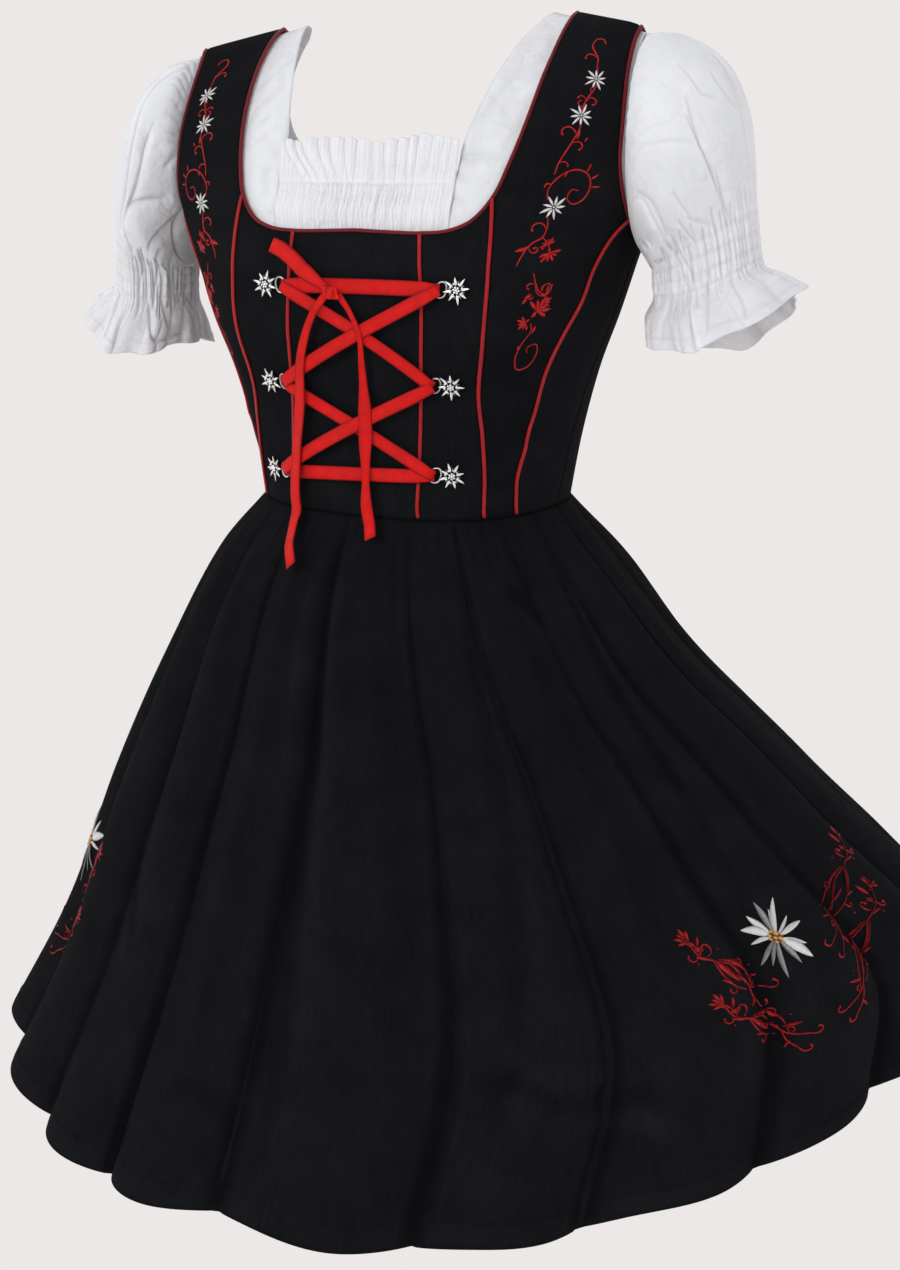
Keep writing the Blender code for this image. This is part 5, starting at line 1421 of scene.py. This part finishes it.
def make_sleeve(way, tilted, sagging, mirror, seed, table):
    shares = dense_turns(326)
    x = (np.mod(shares + 0.5, 1.0) - 0.5) * SLEEVE_ROUND
    rings = sleeve_rings(shares, tilted, sagging)
    if mirror:
        rings = hung_in(rings)
    t = np.linspace(0.0, len(rings) - 1.0001, 168)
    grid = cubic(t, np.arange(len(rings)), rings)
    t = t[:, None]
    if not mirror:
        # the near edge of the left cuff drops towards the hem
        drop = 0.0095 * smooth(t, 6.9, 8.7) * hump(x - 30, 45)
        grid = grid + unit(np.gradient(grid, axis=0)) * drop[..., None]
    normal = outward(grid)
    folds = sleeve_folds(shares, x, t, seed, table) + 0.0005 * smooth(t, 8.55, 8.62)
    points = world(grid + normal * folds[..., None], mirror)
    facing = world(grid + normal * 0.01, mirror) - world(grid, mirror)
    inner = world(grid + normal * (minimum_around(folds, True) - SLEEVE_CLOTH)[..., None], mirror)
    node = "blouse_sleeve_" + way
    shell(node + "_cloth", points, SLEEVE_CLOTH, facing, white, [node], "gathered", closed=True,
          coarse=2, inner=inner, reach=2)
    return points


def make_blouse():
    make_front_gathers()
    make_blouse_body()
    left = make_sleeve("left", 1.0, 1.0, False, 31, LEFT_SLEEVE_FOLDS)
    right = make_sleeve("right", RIGHT_TILT, RIGHT_SAG, True, 61, RIGHT_SLEEVE_FOLDS)
    return left, right


class Ground:
    """Millimetres about an anchor, laid on the bodice or the skirt."""

    def __init__(self, surface, u, v, upward, mirror):
        self.surface, self.u, self.v, self.upward, self.mirror = surface, u, v, upward, mirror
        here = self.raw(u, v, 0.0)
        self.per_u = np.linalg.norm(self.raw(u + 0.5, v, 0.0) - self.raw(u - 0.5, v, 0.0)) / MM
        self.per_v = np.linalg.norm(self.raw(u, v + 0.004, 0.0) - here) / MM / 0.004

    def raw(self, u, v, out):
        if self.surface == "bodice":
            return on_bodice(u, v, out, self.mirror)
        return on_skirt(-np.asarray(u, float) if self.mirror else u, v, out)

    def at(self, flat, out):
        u = self.u + flat[..., 0] / self.per_u
        v = self.v + self.upward * flat[..., 1] / self.per_v
        return self.raw(u, v, np.broadcast_to(out, u.shape))


def heading_of(degrees):
    angle = np.radians(degrees)
    return np.array([np.cos(angle), np.sin(angle)])


def stroke(ground, line, widths, height=0.0005):
    """A satin-stitched stroke along a flat line in millimetres."""
    path = ground.at(line, 0.0)
    ups = ground.at(line, 0.003) - path
    half = MM / 2 * widths[:, None]
    across = np.array([1.0, 0.72, 0.0, -0.72, -1.0, 0.0])
    rise = np.array([0.0, 0.72, 1.0, 0.72, 0.0, -0.5]) * height
    profile = np.stack([across * half, rise * np.sqrt(half / half.max())], -1)
    points, faces, place = tube_mesh(path, ups, profile)
    # the place across the stroke, -1 to 1, gives its thread the painted highlight along the middle and
    # painted shade at the edges
    place[:, 0] = np.tile(across, len(line))
    return points, faces, place


def curl(x, y, heading, length, turn, tight=1.7, samples=26):
    """Flat line that starts in a direction and winds itself up."""
    s = np.linspace(0, 1, samples)[:-1]
    steps = heading_of(heading + turn * s**tight).T * length / (samples - 1)
    return np.array([x, y]) + np.concatenate([np.zeros((1, 2)), np.cumsum(steps, 0)])


def swell(count, start, middle, end):
    """Widths along a stroke."""
    return cubic(np.linspace(0, 1, count), [0, 0.5, 1], [start, middle, end])


def vine(ground, points, width):
    knots = np.array(points, float)
    length = run_along(knots)
    at = np.linspace(0, length[-1], max(12, int(length[-1] / 1.3)))
    return stroke(ground, cubic(at, length, knots), swell(len(at), width * 0.7, width, width * 0.7))


def scroll(ground, x, y, heading, length, turn, width):
    """A curl that ends in a round knot of thread."""
    line = curl(x, y, heading, length, turn)
    widths = swell(len(line), width * 0.55, width, width * 0.75)
    widths[-4:] = width * np.array([1.1, 1.55, 1.6, 1.0])
    return stroke(ground, line, widths)


def petal(ground, x, y, heading, length, width, bend=0.0, height=0.0007, blunt=0.35):
    """A pointed leaf or petal of satin stitch."""
    samples = 13
    line = curl(x, y, heading, length, bend, 1.0, samples)
    s = np.linspace(0, 1, samples)
    widths = width * np.maximum(np.sin(np.pi * s**(0.5 + blunt))**0.85, 0.06)
    widths[0] = width * 0.3
    return stroke(ground, line, widths, height)


def flower(ground, x, y, size, heading, spread_out=150.0, count=6):
    """Carnation of the vine: petals that fan out from one point."""
    parts = []
    for k in range(count):
        fan = k / (count - 1) - 0.5
        long = size * (1.0 if k % 2 else 0.82)
        parts.append(petal(ground, x, y, heading + spread_out * fan, long, size * 0.34, 18.0 * fan,
                           blunt=0.9))
    parts.append(petal(ground, x, y, heading + 180, size * 0.45, size * 0.3))
    return parts


def star(ground, size, count, turn):
    """Small white edelweiss of single long stitches."""
    parts = []
    for k in range(count):
        angle = turn + 360.0 * k / count
        long = size * (1.0 if k % 2 else 0.80)
        parts.append(petal(ground, *(0.16 * size * heading_of(angle)), angle, long, size * 0.24, 8.0))
    return parts


def dot(ground, x, y, size, height=0.0009):
    """A French knot."""
    sides = 9
    middle = np.array([[x, y]])
    points = []
    for share, rise in ((1.0, 0.0), (0.86, 0.55), (0.45, 0.92)):
        points.append(ground.at(middle + oval(sides, size / 2 * share, size / 2 * share), height * rise))
    points = np.concatenate(points + [ground.at(middle, height), ground.at(middle, -0.0003)])
    top, low = len(points) - 2, len(points) - 1
    faces = grid_quads(3, sides, True).tolist()
    for c in range(sides):
        d = (c + 1) % sides
        faces += [(top, 2 * sides + c, 2 * sides + d), (low, d, c)]
    if ground.mirror:
        faces = [face[::-1] for face in faces]
    # painted highlight: the top of the knot takes the bright end of its thread's colours, its rim and
    # underside the darker end
    radial = np.repeat([0.9, 0.7, 0.35, 0.0, 1.0], [sides, sides, sides, 1, 1])
    return points, faces, np.stack([radial, points[:, 2]], 1)


def strap_embroidery(mirror, word):
    """Vine with curls, carnations and three small edelweiss, from the bust to the shoulder."""
    red, pale, golden = [], [], []
    for u, h, vines, curls, leaves, flowers in STRAP_GROUPS:
        ground = Ground("bodice", u, h, 1.0, mirror)
        red += [vine(ground, points, 1.8) for points in vines]
        red += [scroll(ground, *row) for row in curls]
        red += [petal(ground, *row) for row in leaves]
        for row in flowers:
            red += flower(ground, *row)
    for u, h, size, turn in STRAP_STARS:
        ground = Ground("bodice", u, h, 1.0, mirror)
        pale += star(ground, size, 9, turn)
        golden.append(dot(ground, 0, 0, 1.8))
    add_parts("strap_vine_" + word, red, red_thread)
    add_parts("strap_edelweiss_" + word, pale + golden, white_thread)


def spray(ground, x0, y0, x1, y1, side, spread_out):
    """One spray of scrolls from its tulip to its hooks."""
    turn = np.arctan2(y1 - y0, x1 - x0)
    size = np.hypot(x1 - x0, y1 - y0) / SPRAY_LENGTH
    cos, sin = np.cos(turn), np.sin(turn)

    def put(x, y):
        along, across = x * size, y * spread_out * side
        return x0 + along * cos - across * sin, y0 + along * sin + across * cos

    def swing(heading):
        return np.degrees(turn) + heading * side

    parts = []
    thick = 1.15 / np.sqrt(spread_out)
    for points, width in SPRAY_VINES:
        parts.append(vine(ground, [put(x, y) for x, y in points], thick * width))
    for x, y, heading, length, bend, width in SPRAY_CURLS:
        parts.append(scroll(ground, *put(x, y), swing(heading), length * spread_out, bend * side,
                            thick * width))
    for x, y, heading, length, width, bend in SPRAY_LEAVES:
        parts.append(petal(ground, *put(x, y), swing(heading), length * min(size, 1.3),
                           thick * width * spread_out, bend * side))
    for x, y, wide, heading in SPRAY_TULIPS:
        parts += flower(ground, *put(x, y), wide * spread_out, swing(heading), 100.0, 5)
    for x, y, wide in SPRAY_KNOTS:
        parts.append(dot(ground, *put(x, y), wide))
    return parts


def skirt_embroidery(mirror, word):
    """Large edelweiss between four scroll sprays."""
    ground = Ground("skirt", *MOTIF_PLACE, -1.0, mirror)
    red, pale, grey = [], [], []
    for place in SPRAY_PLACES:
        red += spray(ground, *place)
    for heading, length, width, bend, shaded in EDELWEISS_PETALS:
        parts = grey if shaded else pale
        parts.append(petal(ground, *(4.2 * heading_of(heading)), heading - bend / 2, length, width, bend,
                           0.0010 + 0.00003 * width))
    golden = [dot(ground, x, y, size, 0.0021) for x, y, size in EDELWEISS_HEART]
    add_parts("skirt_scrolls_" + word, red, deep_thread)
    add_parts("skirt_edelweiss_" + word, pale, white_thread)
    add_parts("skirt_edelweiss_shaded_" + word, grey, grey_thread)
    add_parts("skirt_edelweiss_heart_" + word, golden, yellow_thread)
    add_parts("skirt_edelweiss_ground_" + word, [dot(ground, 0, 0, 13.5, 0.0014)], brown_thread)


def bead(middle, radius, squash, ups):
    """A small ball, flattened along ups."""
    rings, sides = 6, 10
    side = unit(np.cross(ups, np.array([0.3, 0.2, 0.93])))
    front = np.cross(ups, side)
    turn = circle(sides)[:, None]
    pole = ups * radius * squash
    points = [middle[None] + pole]
    for polar in np.pi * np.arange(1, rings) / rings:
        flat = (side * np.cos(turn) + front * np.sin(turn)) * radius * np.sin(polar)
        points.append(middle + flat + pole * np.cos(polar))
    points = np.concatenate(points + [middle[None] - pole])
    last = len(points) - 1
    faces = (grid_quads(rings - 1, sides, True)[:, [0, 3, 2, 1]] + 1).tolist()
    base = last - sides
    for c in range(sides):
        d = (c + 1) % sides
        faces += [(0, 1 + c, 1 + d), (last, base + d, base + c)]
    return points, faces, np.zeros((len(points), 2))


def frame_at(u, h):
    """Middle, direction across, up and off the cloth."""
    middle = on_bodice(u, h)
    normal = unit(on_bodice(u, h, 0.01) - middle)
    across = on_bodice(u + 0.3, h) - on_bodice(u - 0.3, h)
    across = unit(across - normal * (across @ normal))
    rise = np.cross(normal, across)
    return middle, across, rise if rise[2] > 0 else -rise, normal


def silver_petal(middle, direction, normal, start, length, width, low, high, lift):
    """A pointed, grooved petal of a cast edelweiss."""
    s = np.linspace(0, 1, 9)[:, None]
    path = middle + direction * (start + length * s) + normal * (low + lift * s**2)
    half = width / 2 * np.maximum(np.sin(np.pi * s**0.62)**0.8, 0.05)
    tall = (high - low) * (1 - 0.75 * s**2)
    across = np.array([1.0, 0.62, 0.24, 0.0, -0.24, -0.62, -1.0, 0.0])
    rise = np.array([0.0, 0.72, 1.0, 0.55, 1.0, 0.72, 0.0, -0.35])
    return tube_mesh(path, normal[None], np.stack([across * half, rise * tall], -1))


def add_silver(name, parts, node):
    points, faces, _ = joined(parts)
    return add_mesh(name, points, faces, silver, [node])


def make_hooks():
    """Cast edelweiss hooks: petals in two layers round a heart of beads, and the eye for the ribbon."""
    for word, u, h in HOOKS:
        middle, across, rise, normal = frame_at(u, h)
        spin = 11.0 * u

        def direction(degrees):
            cos, sin = heading_of(degrees)
            return across * cos + rise * sin

        parts = []
        for count, start, length, width, low, high, lift, shift in ROSETTE:
            for k in range(count):
                long = length * (1 + 0.10 * np.cos(2.3 * k + u))
                toward = direction(spin + shift + 360.0 * k / count)
                parts.append(silver_petal(middle, toward, normal, start, long, width, low, high, lift))
        for count, radius, size in HEART:
            for k in range(count):
                place = middle + direction(spin + 11.0 + 360.0 * k / count) * radius + normal * 0.0046
                parts.append(bead(place, size, 0.9, normal))
        parts.append(bead(middle + normal * 0.0030, 0.0044, 0.20, normal))
        shank = np.linspace(0.0003, 0.0040, 4)[:, None] * normal + middle
        parts.append(tube_mesh(shank, rise[None], oval(10, 0.0022, 0.0022)))
        made = add_silver("edelweiss_hook_" + word, parts, "hook_" + word)
        tall = (joined(parts)[0] - middle) @ normal
        add_attribute(made, "height", smooth(tall, 0.0034, 0.0046))
        make_eye(word, u, h)


def degree_at(u, h):
    """Length of one degree round the bodice at this place."""
    return np.linalg.norm(slopes(np.array([u]), np.array([h]))[0])


def make_eye(word, u, h):
    bend = circle(40)
    squarish = np.sign(np.cos(bend)) * np.abs(np.cos(bend))**0.8
    at_u = u + (0.0042 * squarish - np.sign(u) * LOOP_SHIFT) / degree_at(u, h)
    at_h = h + 0.0061 * np.sin(bend)
    path = on_bodice(at_u, at_h, 0.0016)
    ups = on_bodice(at_u, at_h, 0.006) - path
    parts = [tube_mesh(path, ups, oval(9, 0.0009, 0.0009), True)]
    made = add_silver("hook_eye_" + word, parts, "eye_" + word)
    add_attribute(made, "height", np.full(len(made.data.vertices), 0.62))


def ribbon_points(path, ups, widths, ripple):
    """Grid of points across a ribbon whose edges bend a little towards the cloth."""
    along = unit(np.gradient(path, axis=0))
    side = unit(np.cross(along, ups))
    normal = unit(np.cross(side, along))
    share = np.linspace(-1, 1, RIBBON_COLUMNS)
    drop = ripple * np.sin(np.linspace(0, 9, len(path)))[:, None] * share * 0.5 - 0.0003 * share**4
    across = widths[:, None] / 2 * share
    return path[:, None] + side[:, None] * across[..., None] + normal[:, None] * drop[..., None]


def ribbon_shell(name, node, grid, ups, thickness, held):
    """Ribbon with the darker edges of its selvedge."""
    tone_and_shade = np.repeat([[1.0, 0.1, 0, -0.1, -0.15, -0.1, 0, 0.1, 1.0]], len(grid), 0)
    return shell(name, grid, thickness, ups[:, None], ribbon_red, [node], held, tone_and_shade=tone_and_shade)


def laced(name, start, end, layer, wide):
    """A stretch of ribbon from eye to eye: it bends down into the eyes at both ends."""
    s = np.linspace(0, 1, 72)
    bow = 0.0012 * np.sin(np.pi * s) * (1 if layer == 0 else 0.4)
    u = start[0] + (end[0] - start[0]) * s
    h = start[1] + (end[1] - start[1]) * s + bow
    ends = np.minimum(s, 1 - s)
    out = RIBBON_LAYERS[layer] - 0.0019 * (1 - smooth(ends, 0.0, 0.045))
    path = on_bodice(u, h, out)
    ups = on_bodice(u, h, out + 0.01) - path
    widths = SATIN * (0.74 + (wide - 0.74) * smooth(ends, 0.0, 0.12))
    grid = ribbon_points(path, ups, widths, 0.0002)
    ribbon_shell("lacing_" + name, "ribbon_" + name, grid, ups, 0.0005, "stretched")


def hanging(u, h, out):
    if h >= 0.0:
        return on_bodice(u, h, out)
    return on_skirt(u, np.interp(-h, SKIRT[:, 5], SKIRT[:, 0]), out)


def tail_path(table, layer, count):
    """Middle of a free ribbon and the way off the bodice beside it."""
    uv = resample(table, count)
    out = RIBBON_LAYERS[layer]
    path = np.array([hanging(u, h, out + 0.0030 * max(0.0, 1 - h / 0.05)**2) for u, h in uv])
    u, h = uv[:, 0], np.maximum(uv[:, 1], 0.002)
    return path, on_bodice(u, h, 0.01) - on_bodice(u, h)


def make_tail(word, table, widths, lean):
    path, ups = tail_path(table, 3, 40)
    along = unit(np.gradient(path, axis=0))
    ups = unit(ups - along * (ups * along).sum(1, keepdims=True))
    side = np.cross(along, ups)
    share = np.linspace(0, 1, len(path))
    tilt = np.radians(lean * np.sin(np.pi * share))[:, None]
    ups = ups * np.cos(tilt) + side * np.sin(tilt)
    wide = SATIN * np.interp(share, *np.array(widths).T)
    grid = ribbon_points(path, ups, wide, 0.0005)
    made = ribbon_shell("ribbon_end_" + word, "ribbon_tail_" + word, grid, ups, 0.0005, None)


def make_ribbon():
    eyes = {}
    for word, u, h in HOOKS:
        eyes[word] = (u - np.sign(u) * (LOOP_SHIFT + 0.001) / degree_at(u, h), h)
    for name, start, end, layer, wide in LACING:
        laced(name, eyes[start], eyes[end], layer, wide)
    make_tail("right", TAIL_RIGHT, TAIL_RIGHT_WIDTHS, 10.0)
    make_tail("left", TAIL_LEFT, TAIL_LEFT_WIDTHS, -14.0)
    make_bow()
    make_knot()


def make_bow():
    """The flat loop of the bow, folded back on itself."""
    path, ups = tail_path(BOW_LOOP, 4, 36)
    share = np.linspace(0, 1, len(path))
    open_by = 0.0004 + 0.0013 * np.sin(np.pi * share**0.8)
    wide = SATIN * (0.52 + 0.50 * smooth(share, 0.0, 0.45)) * np.where(share > 0.93, 0.97, 1.0)
    under = ribbon_points(path, ups, wide, 0.0003)
    over = ribbon_points(path + unit(ups) * open_by[:, None], ups, wide, 0.0003)
    forward = unit(path[-1:] - path[-2:-1])
    turn = (under[-1:] + over[-1:]) / 2 + forward * 0.0012
    grid = np.concatenate([under, turn, over[::-1]])
    facing = np.concatenate([-ups, forward * 0.01, ups[::-1]])
    ribbon_shell("bow_loop", "ribbon_bow_loop", grid, facing, 0.0004, "folded")


def make_knot():
    """The knot of the bow."""
    middle, across, rise, normal = frame_at(*KNOT)
    around = circle(40)[:, None]
    grid = []
    for row in np.linspace(-1, 1, 15):
        pinch = 1 - 0.22 * (1 - row**2)
        crumple = 1 + 0.06 * np.sin(5 * around + 3 * row)
        half = 0.0074 * pinch * (1 - 0.40 * abs(row)**4)
        tall = 0.0017 * (1 - 0.3 * row**2)
        grid.append(middle + normal * 0.0128 + rise * (0.0052 * row) - across * (0.0022 * row)
                    + across * half * np.cos(around) * crumple + normal * tall * np.sin(around) * crumple)
    grid = np.array(grid)
    facing = grid - grid.mean(1, keepdims=True)
    # the knot's colour takes painted shade in its folds and painted light on its ridges from how deep each
    # point lies
    shell("ribbon_wrap", grid, 0.0005, facing, ribbon_red, ["ribbon_knot"], "folded", closed=True)


def stitch_row(points, ups, length, gap, radius):
    """Small stitches along a line on the cloth."""
    run = run_along(points)
    parts = []
    start = gap
    while start + length < run[-1]:
        at = start + length * np.array([0.0, 0.25, 0.75, 1.0])
        path, up = [np.stack([np.interp(at, run, values) for values in line.T], 1) for line in (points, ups)]
        up = unit(up)
        path = path + up * (radius * np.array([-0.8, 0.5, 0.5, -0.8]))[:, None]
        parts.append(tube_mesh(path, up, oval(4, radius, radius)))
        start += length + gap
    return parts


def add_stitches(name, rows, material):
    parts = []
    for row in rows:
        parts += stitch_row(*row)
    add_parts(name, parts, material)


def make_stitches(left, right):
    """Stitches of the skirt's hem, of the rows of elastic and of the cuffs."""
    u = np.linspace(-180, 180, 1400)
    share = 1 - HEM_STITCHES / STITCHED_RUN
    line = on_skirt(u, share, 0.0006)
    ups = on_skirt(u, share, 0.006) - line
    add_stitches("hem_stitches", [(line, ups, 0.0026, 0.0011, 0.00022)], black)
    for word, grid in (("left", left), ("right", right)):
        at = np.linspace(0.0, 9.0, len(grid))
        normal = outward(grid)
        rows = []
        for ring in ELASTIC + [CUFF_HEM]:
            k = int(np.abs(at - ring).argmin())
            line, ups = [np.concatenate([lines[k], lines[k][:1]]) for lines in (grid, normal)]
            rows.append((line + ups * 0.00005, ups, 0.0022, 0.0010, 0.00020))
        add_stitches("sleeve_stitches_" + word, rows, white)


def add_object(name, data):
    made = bpy.data.objects.new(name, data)
    bpy.context.scene.collection.objects.link(made)
    return made


def make_camera():
    """The view of the photograph."""
    away, turn = 1.8, np.radians(26.8)
    eye = np.array([away * np.sin(turn), -away * np.cos(turn), 0.38]) - SHOULDER_POINT
    heading, pitch, roll = np.radians([26.08, 15.9, -0.98])
    forward = np.array([-np.sin(heading) * np.cos(pitch), np.cos(heading) * np.cos(pitch), -np.sin(pitch)])
    right = unit(np.cross(forward, np.array([0.0, 0.0, 1.0])))
    up = np.cross(right, forward)
    side = right * np.cos(roll) + up * np.sin(roll)
    above = up * np.cos(roll) - right * np.sin(roll)
    lens = bpy.data.cameras.new("camera")
    lens.sensor_width = 36.0
    lens.sensor_fit = "AUTO"
    lens.lens = 59.39
    lens.dof.use_dof = False
    camera = add_object("camera", lens)
    rows = np.stack([side, above, -forward, eye], 1).tolist()
    camera.matrix_world = Matrix(rows + [[0.0, 0.0, 0.0, 1.0]])
    bpy.context.scene.camera = camera


# Soft lights that look at one point: name, place, size, power, colour
LIGHT_TARGET = Vector((0.0, 0.0, -0.30))
LIGHTS = (("key", (-0.6, -2.8, 1.25), 0.7, 24.6, (1.0, 0.99, 0.98)),
          ("fill", (2.7, -1.7, 0.5), 1.2, 8.5, (0.97, 0.98, 1.0)),
          ("side", (-2.6, -0.9, 0.4), 1.2, 9.0, (0.97, 0.98, 1.0)),
          ("rim", (-0.6, 2.2, 1.4), 1.2, 7.0, (0.97, 0.98, 1.0)))
FLOOR_REACH = 9.0
FLOOR_MIDDLE = (0.02, -0.03, -1.45)


def add_light(name, place, size, power, colour):
    lamp = bpy.data.lights.new(name, "AREA")
    lamp.size = size
    lamp.energy = power
    lamp.color = colour
    made = add_object(name, lamp)
    made.location = place
    made.rotation_euler = (LIGHT_TARGET - Vector(place)).to_track_quat("-Z", "Y").to_euler()


def make_floor():
    """A plain floor under the worn garment that glows as pale as the backdrop, with a painted shadow right
    under the skirt.
    """
    look = Look("pale_floor", 1.0, Base_Color=(0.0, 0.0, 0.0, 1.0), Specular_IOR_Level=0.0,
                Emission_Strength=1.0)
    away = look.node("VectorMath", {"operation": "LENGTH"}, n0=look.object_place()).outputs["Value"]
    # painted shadow: the floor's glow is darker at its middle, right under the skirt, and as pale as the
    # backdrop from 0.40 m out
    shaded = look.ramp(away, [(0.0, (0.58, 0.56, 0.56)), (0.40, PALE)])
    look.tree.links.new(shaded, look.shader.inputs["Emission Color"])
    mesh = bpy.data.meshes.new("floor")
    corners = [(x * FLOOR_REACH, y * FLOOR_REACH, 0.0) for x, y in ((-1, -1), (1, -1), (1, 1), (-1, 1))]
    mesh.from_pydata(corners, [], [(0, 1, 2, 3)])
    mesh.materials.append(look.material)
    floor = add_object("floor", mesh)
    floor.location = FLOOR_MIDDLE


def make_stage():
    """A pale world with soft lights."""
    make_floor()
    backdrop = bpy.data.worlds.new("backdrop")
    backdrop.use_nodes = True
    tree = backdrop.node_tree
    direction = tree.nodes.new("ShaderNodeTexCoord").outputs["Generated"]
    height = tree.nodes.new("ShaderNodeSeparateXYZ")
    tree.links.new(direction, height.inputs[0])
    place = tree.nodes.new("ShaderNodeMapRange")
    place.inputs[1].default_value = -1.0
    place.inputs[2].default_value = 1.0
    tree.links.new(height.outputs[2], place.inputs[0])
    ramp = tree.nodes.new("ShaderNodeValToRGB")
    tree.links.new(place.outputs[0], ramp.inputs[0])
    set_stops(ramp, [(0.10, (0.10, 0.10, 0.11)), (0.18, PALE), (0.72, PALE), (0.90, (0.62, 0.62, 0.64))])
    tree.links.new(ramp.outputs[0], tree.nodes["Background"].inputs[0])
    bpy.context.scene.world = backdrop
    bpy.context.scene.view_settings.view_transform = "Standard"
    for row in LIGHTS:
        add_light(*row)


def main():
    make_camera()
    make_ribbon()
    make_bodice()
    make_pipings()
    make_skirt()
    left, right = make_blouse()
    make_hooks()
    for word, mirror in LEFT_AND_RIGHT:
        strap_embroidery(mirror, word)
        skirt_embroidery(mirror, word)
    make_stitches(left, right)
    make_stage()


main()
